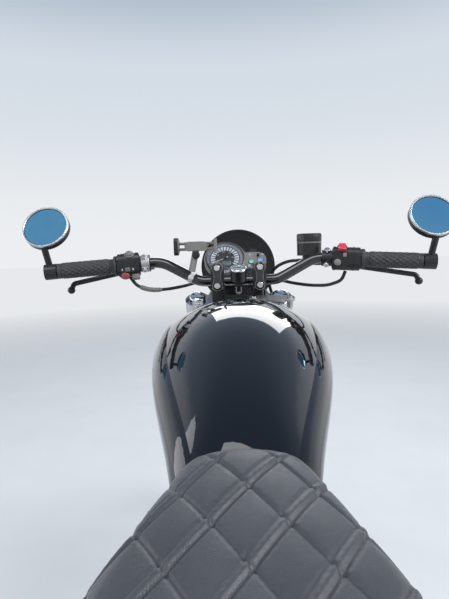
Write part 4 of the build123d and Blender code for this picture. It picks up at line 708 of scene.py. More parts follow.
def inflate(obj, pinned):
    """Cloth simulation under pressure, its movement capped, applied to the mesh."""
    scene = bpy.context.scene
    rest = np.array([v.co for v in obj.data.vertices], float)
    obj.vertex_groups.new(name="sewn").add(pinned, 1.0, "REPLACE")
    cloth = obj.modifiers.new("Cloth", "CLOTH")
    cloth.settings.quality = 4
    cloth.settings.mass = 0.3
    cloth.settings.use_pressure = True
    cloth.settings.uniform_pressure_force = CLOTH_PRESSURE
    cloth.settings.vertex_group_mass = "sewn"
    cloth.settings.effector_weights.gravity = 0
    cloth.point_cache.frame_start = 1
    cloth.point_cache.frame_end = CLOTH_FRAMES
    for step in range(1, CLOTH_FRAMES + 1):
        scene.frame_set(step)
    puffed = obj.evaluated_get(bpy.context.evaluated_depsgraph_get())
    moves = np.array([v.co for v in puffed.data.vertices], float) - rest
    obj.modifiers.remove(cloth)
    obj.vertex_groups.clear()
    scene.frame_set(1)
    far = np.linalg.norm(moves, axis=1, keepdims=True)
    moves *= np.minimum(1.0, CLOTH_CAP / np.maximum(far, 1e-9))
    obj.data.vertices.foreach_set("co", (rest + moves).ravel())


def subdivided(obj, tags):
    """Gives the object its mesh once subdivided, and returns the mesh with its finer tags."""
    names = ("over", "half")
    for name, values in zip(names, zip(*tags)):
        obj.data.attributes.new(name, "FLOAT", "POINT").data.foreach_set("value", values)
    finer = obj.modifiers.new("finer", "SUBSURF")
    finer.levels = finer.render_levels = 1
    dense = bpy.data.meshes.new_from_object(obj.evaluated_get(bpy.context.evaluated_depsgraph_get()))
    obj.modifiers.remove(finer)
    obj.data = dense
    dense.name = obj.name
    tags = list(zip(*([d.value for d in dense.attributes[name].data] for name in names)))
    for name in names:
        dense.attributes.remove(dense.attributes[name])
    return dense, tags


def seat_cover(rings, marks, ends):
    rows, tags = list(rings), []
    for ring, over in zip(rings, marks):
        tags += [(s, over[-1]) for s in over] + [(OFF, over[-1])] * (len(ring) - len(over))
    for end, way in ((rings[0], 1), (rings[-1], -1)):
        centre = sum(end, Vector()) / len(end)
        inner = []
        for step in range(1, END_RINGS + 1):
            share = step / (END_RINGS + 1)
            bulge = AHEAD * (way * END_BULGE * (1 - (1 - share) ** 2))
            inner.append([p.lerp(centre, share) + bulge for p in end])
        plain = [(OFF, 0)] * (END_RINGS * len(end))
        rows = inner[::-1] + rows if way > 0 else rows + inner
        tags = plain + tags if way > 0 else tags + plain
    obj = Shape().grid(rows).piece("seat_cover", "quilted_leather", "frame", angle=180,
                                   replaces=("seat_cushion",))
    formed = SEAT_PUFF * FORMED_FIRST
    raised(obj.data, tags, ends, lambda over, y: formed * pillow(over, y))
    pinned = []
    for v, (over, half) in zip(obj.data.vertices, tags):
        near = min(abs(d) for d in seam_places(over, v.co.y)) < SEAM_PIN
        if near or quilt_share(over, half, v.co.y, *ends) < 0.5:
            pinned.append(v.index)
    inflate(obj, pinned)
    dense, tags = subdivided(obj, tags)
    raised(dense, tags, ends, seam_profile)
    smooth(dense, 180)


def seat_piping(rings):
    """The welt sewn along the edge between the top panel and the sides."""
    welt = Shape()
    for column, side in ((0, -1), (SEAT_TOP_COLUMNS, 1)):
        out = Vector((side, 0, -0.55)).normalized() * 0.0022 - UP * 0.006
        points = [ring[column] + out for ring in rings[5::2]]
        welt.tube(points, [2.6] * len(points), 10)
    welt.piece("seat_piping", "quilted_leather", "frame", angle=60)


def seat():
    low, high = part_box("seat_cushion")
    rings, marks = seat_form(low, high)
    seat_cover(rings, marks, (low.y, high.y))
    seat_piping(rings)


seat()


# Grips: rubber with diamond knurling

GRIP_START, GRIP_END, GRIP_FLANGE = 2, 120, 115
GRIP_R, GRIP_FLANGE_R, GRIP_RIPPLE = 14.9, 20.8, 2.8
GRIP_STEP, GRIP_STEPS, GRIP_AROUND = 0.9, 126, 96
KNURL_AROUND, KNURL_LONG, KNURL_RISE = 12, 13, 2
KNURL_FROM, KNURL_TO, KNURL_FADE = 8.5, 106, 3


def grip_radius(inward, a):
    if inward >= GRIP_FLANGE:
        share = (inward - GRIP_FLANGE) / (GRIP_END - GRIP_FLANGE)
        return GRIP_FLANGE_R - 1.2 * (2 * share - 1) ** 4
    if inward > KNURL_TO:
        return GRIP_R + 0.6 + 0.4 * math.cos(TURN * (inward - KNURL_TO) / GRIP_RIPPLE)
    if inward < KNURL_FROM:
        return GRIP_R + 0.9 - 0.7 * bell(inward - 6.2, 0.9)
    turn, along = KNURL_AROUND * a / TURN, inward / KNURL_LONG
    lift = abs(math.sin(math.pi * (turn + along)) * math.sin(math.pi * (turn - along))) ** 0.5
    fade = smoothstep((inward - KNURL_FROM) / KNURL_FADE) * smoothstep((KNURL_TO - inward) / KNURL_FADE)
    return GRIP_R - 0.2 + KNURL_RISE * min(1.0, lift * 1.25) * fade


def grips():
    shape = Shape()
    steps = [GRIP_START] + [GRIP_START + GRIP_STEP * k for k in range(GRIP_STEPS)] + [GRIP_FLANGE - 0.1]
    steps += [GRIP_FLANGE + (GRIP_END - GRIP_FLANGE) * k / 6 for k in range(7)] + [GRIP_END]
    for side in SIDES:
        place = on_bar(side, 0)
        rows = []
        for k, inward in enumerate(steps):
            row = []
            for a in (TURN * j / GRIP_AROUND for j in range(GRIP_AROUND)):
                r = BAR_R * 0.98 if k in (0, len(steps) - 1) else grip_radius(inward, a)
                row.append(place @ spot(*polar(r, a), -inward))
            rows.append(row)
        shape.grid(rows)
    shape.piece("knurled_grips", "grip_rubber", angle=50, replaces=("grips",))


grips()


# Switch housings, brackets, levers and end clamps

# A housing's width, height and corners across the bar
HOUSING_SIZE = (48, 42, 15)
ROCKER_HALF, ROCKER_ROWS = 10.8, 12
# Places that on_housing takes: side, inward, back and up from the bar, and the direction back and up
SIGNAL, HORN = (-1, 143, 20.8, -8.5, 1, 0), (-1, 137, 16.5, -19, 0.80, -0.60)
KILL, START = (1, 160, 12.5, 20, 0.51, 0.86), (1, 168.7, 22, -7.3, 1, 0)
# What sits on the housings: piece, finish, place, form and its sizes
ON_HOUSINGS = (
    ("signal_well", "black_rubber", SIGNAL, Shape.plate, (31, 11, 4), 0, 1.1, 0.4),
    ("horn_rim", "black_plastic", HORN, Shape.ring, 8.4, 11.2, -3, 3),
    ("horn_button", "horn_red", HORN, Shape.button, 8.6, 7, 1.2),
    ("choke_lug", "gauge_housing", (-1, 158, 12, -22.5, 0.2, -1), Shape.plate, (16, 18, 4), -2, 8.5, 1.5),
    ("left_top_pad", "gauge_housing", (-1, 145.5, 4, 23.7, 0, 1), Shape.plate, (20, 13, 3), 0, 1.6, 0.6),
    ("right_panel", "satin_black", (1, 164, 20.8, 0, 1, 0), Shape.plate, (29, 34, 5), 0, 1.6, 0.7),
    ("kill_surround", "black_plastic", KILL, Shape.plate, (20, 26, 5), -2, 2.2, 0.7),
    ("start_rim", "satin_black", START, Shape.ring, 6.6, 8.8, 0, 2.2),
    ("start_button", "grey_plastic", START, Shape.button, 6.8, 4.2, 0.8),
    ("lamp_slider", "grey_plastic", (1, 155, 22.2, 8, 1, 0), Shape.plate, (7, 8.5, 2), 0, 4, 1),
)


def recast(node, name, material):
    """A copy of a CAD node in its place, for another slot than the node's own."""
    mesh = NODES[node].data.copy()
    mesh.materials.clear()
    mesh.materials.append(MATERIALS[material])
    smooth(mesh)
    obj = into_scene(name, mesh)
    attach(obj, "steering")
    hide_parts(node)


def on_housing(side, inward, back, up, back_n, up_n):
    """A place on a switch housing with a direction given towards the rider and up; local x points out."""
    return placed(by_bar(side, inward, back, up), bar_way(side, back=back_n, up=up_n), bar_way(side, out=1))


def collar(name, material, side, inward, wide, proud):
    """A thin band around a switch housing, its edges sunk in."""
    place = on_bar(side, 0)
    near, far = inward - wide / 2, inward + wide / 2
    rows = []
    for z, extra in ((near, -0.6), (near, proud), (far, proud), (far, -0.6)):
        width, height, corner = HOUSING_SIZE
        outline = rounded(width + 2 * extra, height + 2 * extra, corner + extra, 8)
        rows.append([place @ spot(x, y, -z) for x, y in outline])
    Shape().grid(rows, capped=False).piece(name, material)


def left_controls():
    recast("left_switchgear", "left_housing", "black_plastic")
    collar("left_split", "black_rubber", -1, 132, 1.6, 0.8)
    collar("left_band", "satin_black", -1, 163.5, 6, 0.9)
    bracket = Shape().ring(on_bar(-1, 187.8), 11.2, 17.8, 0, 18)
    screws = []
    for up_n, rise in ((0.71, 12.8), (-0.66, -11.8)):
        bracket.plate(on_housing(-1, 178.8, 10.5, 15 * up_n, 0.72, up_n), (17, 13, 4), 0, 3.6, 0.8)
        screws.append(on_housing(-1, 177.8, 12.8, rise, 0.72, up_n))
    bracket.piece("left_bracket", "raw_alloy")
    bolts("left_bracket_bolts", screws, Shape.socket_head, 5.2, 5)
    Shape().ring(on_bar(-1, 188.5), 11, 17.8, -1.2, 1.2).piece("left_bracket_lip", "satin_black")
    slider, marks = Shape().plate(on_housing(*SIGNAL), (10, 8.5, 2.5), 0.4, 7.8, 1.4), Shape()
    for k in (-1, 0, 1):
        slider.plate(moved(on_housing(*SIGNAL), 2.7 * k), (1.1, 6.6, 0.5), 7, 8.6)
        if k:
            marks.prism(on_housing(*SIGNAL), [(13.2 * k, 0), (9.8 * k, 2.6), (9.8 * k, -2.6)], 0.9, 1.3)
    slider.piece("signal_slider", "gauge_housing")
    marks.piece("signal_marks", "print_pale")


def right_controls():
    collar("right_split", "black_rubber", 1, 136, 1.6, 0.8)
    collar("right_band", "satin_black", 1, 174.5, 5, 0.9)
    rows = []
    for k in range(ROCKER_ROWS + 1):
        share = 2 * k / ROCKER_ROWS - 1
        rise, edge = 5 + 2.2 * abs(share) ** 1.5, 7.8 - 1.2 * abs(share) ** 6
        half = ((edge, 0), (edge, rise - 1.2), (edge - 1.2, rise))
        corners = [(-x, z) for x, z in half] + list(half[::-1])
        rows.append([on_housing(*KILL) @ spot(x, ROCKER_HALF * share, z) for x, z in corners])
    Shape().grid(rows).piece("kill_rocker", "kill_red")
    screws = [on_housing(1, 190, 11, 15, 0.60, 0.80), on_housing(1, 190.8, 12.5, -11.8, 0.76, -0.65)]
    bolts("right_bracket_bolts", screws, Shape.socket_head, 6, 5)
    flange = [(17, -121.2), (20.6, -120.5), (21.6, -118), (21.2, -115), (19.6, -113.6), (16.8, -113.2)]
    Shape().lathe(on_bar(1, 0), flange, 64, True).piece("throttle_flange", "grip_rubber")


RESERVOIR_CAP_R = 24.5


def reservoir_cap():
    """The fluted screw cap of the brake fluid reservoir, and the band below it."""
    top = points_of("brake_master")
    top = top[top[:, 2] > top[:, 2].max() - 0.0005]
    place = placed(Vector((top.min(0) + top.max(0)) / 2), UP)
    r = max(np.ptp(top[:, 0]) / 2 / MM + 0.2, RESERVOIR_CAP_R)

    def flutes(a):
        return 1 + 0.016 * max(0.0, math.cos(32 * a)) ** 0.6

    cap = [(r * 0.98, -15.8), (r, -15.2, flutes), (r, -2.4, flutes), (r * 0.985, -1.2),
           (r * 0.93, 0.6), (r * 0.60, 0.6), (r * 0.57, -0.1), (r * 0.20, -0.1)]
    Shape().lathe(place, cap, 192).piece("reservoir_cap", "satin_black")
    band = [(r * 0.985, -20.5), (r * 1.012, -20), (r * 1.012, -17.2), (r * 0.985, -16.8)]
    Shape().lathe(place, band, 96, True).piece("reservoir_band", "gauge_housing")


def end_fittings():
    """Rims round the mirror glasses, and the screws of the bar-end clamps."""
    screws, rims = [], []
    for side in SIDES:
        screws.append(placed(by_bar(side, -12, 0, 15.8), bar_way(side, up=1)))
        screws.append(placed(by_bar(side, -24.3), bar_way(side, out=1)))
        centre, normal = flat_face("mirror_glasses", bar_way(side, back=1, up=0.1), side)
        rims.append(placed(centre - normal * 2 * MM, normal))
    bolts("end_clamp_screws", screws, Shape.socket_head, 3.4, 2.6)
    on_each("mirror_rims", "satin_alloy", rims, Shape.ring, 43.2, 47.1, 0, 4.6, 96)


def levers():
    """The knurled adjuster on the front brake lever, and the levers' pivot bolts."""
    _, place, _, _ = NODES["brake_master"].closest_point_on_mesh(from_clamp(243, 34, 8.4))
    knurl = knurled(20, 0.03)
    barrel = [(3.5, -4), (3.5, 1), (6, 1, knurl), (6, 8, knurl), (5, 9), (3.2, 9), (3.2, 13), (1, 13)]
    Shape().lathe(placed(place - AHEAD * MM, -AHEAD), barrel, 80).piece("lever_adjuster", "bright_steel")
    heads = []
    for side, root, node in ((-1, 179, "clutch_lever"), (1, 190, "brake_master")):
        above = by_bar(side, root) + spot(-side * 4, 24, 40)
        heads.append(landed(above, -UP, node, x_way=AHEAD))
    bolts("lever_pivots", heads, Shape.hex_head, 5.2, 4.5)


# Where the loom's sleeve runs and the nylon tie sits, from left to right
SLEEVE_FROM, SLEEVE_LONG, SLEEVE_STEPS = -210, 45, 12
TIE_X = (-101, -96)


def cable_dressings():
    """A tapered sleeve on the left loom and a nylon tie round the bar."""
    loom, bar = Cutter("left_loom", 0), Cutter("handlebar", 0)
    steps = range(SLEEVE_STEPS + 1)
    levels = [(SLEEVE_FROM + SLEEVE_LONG * k / SLEEVE_STEPS) * MM for k in steps]
    points = [Vector((x, *loom.outline(x).mean(0))) for x in levels]
    radii = [3.6 + (1.8 if 0 < k < SLEEVE_STEPS else 0) - 0.5 * k / SLEEVE_STEPS for k in steps]
    Shape().tube(points, radii, 20).piece("loom_sleeve", "gauge_housing", angle=50)
    first, second = (Vector((x * MM, *bar.outline(x * MM).mean(0))) for x in TIE_X)
    place = placed((first + second) / 2, second - first, UP)
    tie = Shape().ring(place, BAR_R + 0.1, BAR_R + 1.6, -4.5, 4.5, 40)
    tie.plate(moved(place, 0, BAR_R + 2.8), (6, 5.2, 1, 3), -5.5, 5.5, 0.6)
    tie.plate(moved(place, 5, BAR_R + 3), (12, 1.4, 0.6, 3), -3, 3)
    tie.piece("nylon_tie", "nylon")


for name, material, at, *form in ON_HOUSINGS:
    on_each(name, material, [on_housing(*at)], *form)
dip = on_housing(-1, 148.6, 12.5, 20, 0.49, 0.87)
Shape().button(dip, 8.2, 7.2, 2.2).ring(dip, 8, 10.4, 0, 3.2).piece("dip_button", "gauge_housing")
left_controls()
right_controls()
reservoir_cap()
end_fittings()
levers()
cable_dressings()


# Risers, clock, instrument, phone clamp and lamps

# The risers' distance to each side, their face towards the rider, and their two bolts' rise
RISER_X, RISER_FACE = 44, 20
RISER_LOW, RISER_HIGH = -8.6, 28.4


def teardrop(top_r, low_r, drop, waist):
    """A keyhole outline: a wide round end above, a waist and a smaller round end below."""
    right = [polar(top_r, math.radians(90 - 135 * k / 8)) for k in range(9)] + [(waist, -drop * 0.55)]
    for k in range(9):
        x, y = polar(low_r, math.radians(40 - 130 * k / 8))
        right.append((x, y - drop))
    return right + [(-x, y) for x, y in right[-2:0:-1]]


def riser_caps():
    plates, edges, screws = Shape(), Shape(), []
    drop = RISER_HIGH - RISER_LOW
    for side in SIDES:
        place = placed(from_clamp(side * RISER_X, -RISER_FACE + 0.4, RISER_HIGH), -AHEAD)
        plates.prism(place, teardrop(10.5, 9.8, drop, 5.8), 0, 3.4, 1.3)
        edges.prism(place, teardrop(12.2, 11.2, drop, 7.4), 0, 2.2, 0.8)
        for rise in (RISER_LOW, RISER_HIGH):
            screws.append(placed(from_clamp(side * RISER_X, -RISER_FACE - 3, rise), -AHEAD))
    edges.piece("riser_edges", "gauge_housing", angle=50)
    plates.piece("riser_plates", "gloss_black", angle=50)
    bolts("riser_bolts", screws, Shape.socket_head, 6, 4.2)


CLOCK_AT, CLOCK_TILT, CLOCK_H = (0, -28, 15), math.radians(22), 25
# The hands: angle, length and width
CLOCK_HANDS = ((-55, 7, 1.3), (62, 10, 0.9))


def clock():
    way = Vector((0, -math.sin(CLOCK_TILT), math.cos(CLOCK_TILT)))
    top = placed(from_clamp(*CLOCK_AT) + way * (CLOCK_H / 2 - 0.2) * MM, way)
    bezel = [(12.8, 0), (16.6, -0.8), (17, 0.4), (16.6, 1.8), (14.6, 3), (13.2, 2.6)]
    Shape().lathe(top, bezel, 64, True).piece("clock_bezel", "hard_chrome", angle=50)
    Shape().button(top, 13.3, 0.6).piece("clock_dial", "clock_face")
    marks = Shape().button(moved(top, z=0.9), 1.4, 0.8)
    for hour in range(12):
        size = (0.7 if hour % 3 else 1.3, 2.8, 0.3, 2)
        marks.plate(moved(moved(top, turn=30 * hour), y=10.8), size, 0.4, 0.9)
    for angle, length, width in CLOCK_HANDS:
        hand = moved(moved(top, turn=angle), y=length * 0.42)
        marks.plate(hand, (width, length, width * 0.45, 2), 0.9, 1.4)
    marks.piece("clock_hands", "satin_black")
    Shape().lens(top, 13.1, 1.7, 1.6, 48, 7).piece("clock_glass", "dial_glass", slot="lamp_glass")


GAUGE_AT, GAUGE_TILT = (-29, 58, 45), math.radians(38)
# Where the scale begins, in degrees from the dial's right, how far it turns clockwise, and its steps
SCALE_START, SCALE_TURN, SCALE_STEPS = 222.0, 264.0, 11
SCALE_BLOCKS, SCALE_FINE = 19, 55
# The scale's blocks and fine marks: inner and outer radius, and half the angle of each
BLOCK, FINE = (21.5, 31.8, math.radians(SCALE_TURN / SCALE_BLOCKS) * 0.37), (34.5, 37.2, 0.010)
FIGURES_R = 17.5
# The gauge's turned rings: piece, finish, and corners as (radius, height)
GAUGE_RINGS = (
    ("gauge_bezel", "gauge_housing",
     ((39.2, 0.4), (44, -3.4), (46.4, -4), (46.6, 0.2), (44.8, 3), (42, 4), (40.6, 3.4))),
    ("gauge_ring", "satin_black", ((39.6, 0.6), (40.8, 3.4), (42, 4.3), (43.6, 4), (41.8, 3))),
)
# What sits on the gauge: piece, finish, place and turn, form and its sizes
ON_GAUGE = (
    ("gauge_dial", "dial_blue", (0, 0, 0, 0), Shape.button, 39.8, 0.6),
    ("gauge_middle", "dial_dark", (0, 0, 0.4, 0), Shape.button, 33.5, 0.3),
    ("gauge_display", "display", (4, -14, 0, 0), Shape.plate, (20, 12, 1.5), 0.6, 1.6, 0.3),
    ("gauge_boss", "dial_dark", (0, 0, 1.2, 0), Shape.button, 4.6, 2, 0.4),
    ("reset_knob", "satin_black", (74, 6.3, -0.3, 0), Shape.lathe,
     ((3.2, 0), (3.2, 5, knurled(12, 0.04)), (2.6, 5.8), (0.8, 5.8)), 48),
    ("gauge_needle", "print_pale", (0, 0, 1.6, SCALE_START - 14), Shape.prism,
     ((-8, -1.3), (31, -0.4), (31, 0.4), (-8, 1.3)), 0, 0.7),
)
GAUGE_SCREWS = ((30, -23.5), (85, 9), (56, 8.5))
# Warning lamps beside the dial: lens, place and radius
GAUGE_LAMPS = (("lens_green", 58.7, -10, 5.6), ("lens_blue", 78.6, -6, 6.2),
               ("lens_grey", 53.5, -21.2, 4), ("lens_pink", 65, -21.2, 4))


def numeral(text, place, height):
    """A flat number, as vertices and faces."""
    curve = bpy.data.curves.new("numeral", "FONT")
    curve.body = text
    curve.size = height * MM
    curve.align_x = curve.align_y = "CENTER"
    curve.resolution_u = 3
    obj = into_scene("numeral", curve)
    bpy.context.view_layer.update()
    mesh = bpy.data.meshes.new_from_object(obj)
    verts = [place @ v.co for v in mesh.vertices]
    faces = [list(p.vertices) for p in mesh.polygons]
    bpy.data.objects.remove(obj)
    bpy.data.curves.remove(curve)
    bpy.data.meshes.remove(mesh)
    return verts, faces


def gauge_scale(face):
    """A rim, fine marks and broad blocks, each block wider at its outer end."""
    ticks = Shape().ring(face, 38.2, 38.8, 0.5, 0.9, 96)
    shares = [((k + 0.5) / SCALE_BLOCKS, BLOCK) for k in range(SCALE_BLOCKS)]
    shares += [(k / SCALE_FINE, FINE) for k in range(SCALE_FINE + 1)]
    for share, (inner, outer, half) in shares:
        a = math.radians(SCALE_START - SCALE_TURN * share)
        ends = ((inner, half * 0.72), (inner, -half * 0.72), (outer, -half), (outer, half))
        ticks.prism(face, [polar(r, a + off) for r, off in ends], 0.5, 0.9)
    ticks.piece("gauge_scale", "print_pale")


def instrument():
    face = placed(from_clamp(*GAUGE_AT), Vector((0, -math.cos(GAUGE_TILT), math.sin(GAUGE_TILT))))
    for name, material, profile in GAUGE_RINGS:
        Shape().lathe(face, profile, 96, True).piece(name, material, angle=50)
    for name, material, at, *form in ON_GAUGE:
        on_each(name, material, [moved(face, *at)], *form)
    Shape().lens(face, 40, 3.4, 1.6, 64, 9).piece("gauge_glass", "dial_glass", slot="lamp_glass")
    gauge_scale(face)
    figures = Shape()
    for k in range(1, SCALE_STEPS, 2):
        x, y = polar(FIGURES_R, math.radians(SCALE_START - SCALE_TURN * k / SCALE_STEPS))
        figures.add(*numeral(str(20 * k), moved(face, x, y, 1), 4.2))
    figures.piece("gauge_figures", "print_pale")
    digits = Shape().add(*numeral("00128", moved(face, 4, -11.5, 1.8), 4.6))
    digits.add(*numeral("24.0", moved(face, 4, -16.8, 1.8), 3.6)).piece("gauge_digits", "dial_dark")
    for name, x, y, r in GAUGE_LAMPS:
        place = moved(face, x, y, -0.3)
        Shape().ring(place, r - 0.2, r + 1.1, 0, 1.2, 32).piece("rim_" + name, "satin_black")
        Shape().button(place, r, 1.4, 0.6).piece("lamp_" + name, name)
    beside = placed(moved(face, -45.2, -4, -9).translation, -RIGHT)
    Shape().button(beside, 4, 5.8, 0.6).piece("side_knob", "bright_steel")
    bolts("gauge_screws", [moved(face, x, y, -0.4) for x, y in GAUGE_SCREWS], Shape.socket_head, 2.4, 1.2)


PHONE_AT = (-88, 11, 74)


def by_phone(x, ahead=0.0, rise=0.0):
    return from_clamp(PHONE_AT[0] + x, PHONE_AT[1] + ahead, PHONE_AT[2] + rise)


def phone_clamp():
    """Two rods, a ribbed jaw at each end with the larger on the left, a back plate and a knurled wheel."""
    rods, pads = Shape(), Shape()
    for side, size, low in ((-1, (37, 25, 8), -6), (1, (30, 18, 6), -2.2)):
        for way in (1, -1):
            start = placed(by_phone(side * 22.5, 3 * way, 6 * way), RIGHT * side)
            rods.lathe(start, [(3.3, 0), (3.3, 13.5)], 20)
        jaw = placed(by_phone(side * 40.5), -RIGHT * side, UP)
        pads.plate(jaw, size, low, 2.6, 1)
        for k in range(5):
            pads.plate(moved(jaw, 5 * k - 10), (1.8, 13, 0.6, 2), 2, 3)
    rods.piece("phone_rods", "hard_chrome")
    pads.piece("phone_pads", "black_rubber")
    back = Shape().plate(placed(by_phone(0, -8.8), -AHEAD), (42, 20, 5), 0, 1.4, 0.5)
    back.piece("phone_plate", "gauge_housing")
    knurl = knurled(18, 0.05)
    wheel = [(6, 0), (7.8, 0.6, knurl), (7.8, 5.6, knurl), (6, 6.4)]
    Shape().lathe(placed(by_phone(0, -7.2, -18.5), -AHEAD), wheel, 72).piece("phone_wheel", "satin_black")


FORK_X, FORK_TOP, YOKE_TOP = 90, 670.8, 662.5
FORK_CAP = ((17.4, -4), (17.7, -1), (17.4, 1.2), (16, 3), (13, 4.4), (9, 5.3), (4.5, 5.8), (1, 5.9))
# How far the posts of the right-only silver bar are from its middle; the bar is a painted highlight of the
# sunlit yoke arm
HIGHLIGHT_BAR_POSTS = 38


def yoke_fittings():
    """Polished fork caps whose two dimples are dark discs of painted shade, a silver bar on posts on the
    right only as a painted highlight of the sunlit yoke arm, and pinch bolts.
    """
    tops = [placed(fork(side * FORK_X, FORK_TOP, 0), FORK_UP) for side in SIDES]
    # Places of the dark discs that paint the shade in each cap's two dimples
    dimple_shades = [moved(top, way * 7.8, 1, 4.8) for top in tops for way in SIDES]
    pinches = [landed(fork(side * x, up, -100), FORK_AHEAD, "yokes")
               for side in SIDES for x, up in ((118, 652), (70, 470))]
    on_each("fork_caps", "hard_chrome", tops, Shape.lathe, FORK_CAP, 64, angle=40)
    on_each("fork_cap_dimple_shades", "dial_dark", dimple_shades, Shape.button, 2.4, 1)
    bolts("yoke_bolts", pinches, Shape.socket_head, 5.8, 6)
    # A silver bar on the right only: a painted highlight where the top yoke's right arm is in sun, its left
    # arm being in shade
    start, end = fork(30, 690, -30), fork(108, 676, -34)
    place = placed((start + end) / 2, FORK_UP, end - start)
    highlight_bar = Shape().plate(place, (96, 18, 8.8, 8), -2.4, 2.4, 0.9)
    for way in SIDES:
        foot = moved(place, way * HIGHLIGHT_BAR_POSTS).translation
        drop = (foot - FRONT_AXLE).dot(FORK_UP) / MM - YOKE_TOP
        highlight_bar.lathe(placed(foot - FORK_UP * drop * MM, FORK_UP), [(6.2, 0), (6.2, drop - 1)], 24)
    highlight_bar.piece("yoke_highlight_bar", "raw_alloy")
    bolts("highlight_bar_bolts", [moved(place, way * HIGHLIGHT_BAR_POSTS, z=2.2) for way in SIDES], Shape.hex_head, 5, 4)


def lamp_face(node, way):
    """A lamp's face on the side where y is least, looking a way, and its radius."""
    low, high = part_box(node)
    return placed(Vector(((low.x + high.x) / 2, low.y, (low.z + high.z) / 2)), way), (high.x - low.x) / 2 / MM


# The glass's upright flutes: how many, and their spacing
FLUTES, FLUTE_GAP = 15, 10.5


def headlamp():
    """A chrome rim, and behind the fluted glass a reflector with a shield in front of its bulb."""
    face, radius = lamp_face("headlamp_lens", AHEAD)
    rim = [(radius - 0.8, -4), (89.8, -4), (91.6, -1), (91, 2.6), (88, 5.2), (radius + 0.6, 5.6),
           (radius - 1.4, 3)]
    Shape().lathe(face, rim, 128, True).piece("headlamp_rim", "hard_chrome", angle=50)
    shares = [0.985 - 0.965 * k / 13 for k in range(14)]
    bowl = [(radius * share, 0.9 + 1.6 * share ** 2, knurled(40, 0.004)) for share in shares]
    Shape().lathe(face, bowl, 160).piece("headlamp_reflector", "hard_chrome", angle=70)
    shield = [(16.5, 1.2), (16.5, 6.2), (15, 8.4), (10, 9.6), (2, 10)]
    Shape().lathe(face, shield, 48).piece("headlamp_shield", "hard_chrome", angle=50)
    bars = Shape()
    for k in range(FLUTES):
        x = FLUTE_GAP * (k - FLUTES // 2)
        half = math.sqrt((radius * 0.93) ** 2 - x * x)
        points = []
        for z in (half * (j / 4 - 1) for j in range(9)):
            depth = 15.5 * (1 - (x * x + z * z) / radius ** 2) - 1.4
            points.append(face @ spot(x, z, max(3.4, depth)))
        bars.tube(points, [0.55] * len(points), 6)
    bars.piece("headlamp_flutes", "lamp_glass", angle=70)
    ears = [landed(face.translation + spot(side * 160, -35, 0), -RIGHT * side, "headlamp_shell", "yokes")
            for side in SIDES]
    bolts("headlamp_bolts", ears, Shape.cap_nut, 6.5, 9)


def tail_lamp():
    face, radius = lamp_face("tail_lamp", -AHEAD)
    rim = [(radius + r, z) for r, z in ((-3, -0.2), (0.2, -6), (1.6, -5.5), (1.4, -0.8), (-1, 1.2))]
    Shape().lathe(face, rim, 64, True).piece("tail_rim", "hard_chrome", "frame", angle=50)
    ribs = Shape()
    for k in range(1, 5):
        r = (radius - 3) * k / 5
        ribs.lathe(face, [(r - 0.6, -0.2), (r + 0.6, -0.2), (r, 0.7)], 48, True)
    ribs.piece("tail_ribs", "red_lens", "frame", angle=70)


riser_caps()
clock()
instrument()
phone_clamp()
yoke_fittings()
headlamp()
tail_lamp()


# Tyres with tread, spoke nipples, disc and sprocket bolts

TREAD_DEPTH = 4.5
# Columns of one pitch of the tread, as (share of the pitch, in the groove)
TREAD_COLUMNS = ((0.0, False), (0.03, True), (0.10, True), (0.17, True), (0.20, False), (0.36, False),
                 (0.52, False), (0.68, False), (0.84, False))
# Half a ring groove's width at its floor and its edge, and how far a slanted groove's ends slope
RING_FLOOR, RING_EDGE, SLANT_EDGE = 1.8, 2.6, 0.6
CROWN_ROWS = 18
# Ribs on the sidewall: the place along its arc, and how proud
WALL_RIBS = ((2, 0.8), (3, 0.6), (9, 0.7))


def arc_through(first, second, third, count):
    """Points along the circle arc through three (x, r) places."""
    one, two, three = (complex(*p) for p in (first, second, third))
    w = (three - one) / (two - one)
    centre = one + (two - one) * (w - abs(w) ** 2) / (w - w.conjugate())
    start, mid, end = (math.atan2(p.imag, p.real) for p in (one - centre, two - centre, three - centre))
    turn = (end - start) % TURN
    if (mid - start) % TURN > turn:
        turn -= TURN
    points = [polar(abs(one - centre), start + turn * k / count) for k in range(count + 1)]
    return [(centre.real + x, centre.imag + y) for x, y in points]


def crown_levels(reach, rings, slanted):
    """Where the crown's rows lie across the tyre: at the edges of its grooves, and evenly between."""
    levels = {round(x + edge, 2) for x in rings for edge in (-RING_EDGE, -RING_FLOOR, RING_FLOOR, RING_EDGE)}
    for low, high in slanted:
        for edge in (low - SLANT_EDGE, low, high, high + SLANT_EDGE):
            levels |= {round(edge, 2), round(-edge, 2)}
    for k in range(-CROWN_ROWS, CROWN_ROWS + 1):
        x = round(reach * k / CROWN_ROWS, 2)
        if all(abs(x - level) > SLANT_EDGE for level in levels):
            levels.add(x)
    return [x for x in sorted(levels) if abs(x) < reach - 0.2]


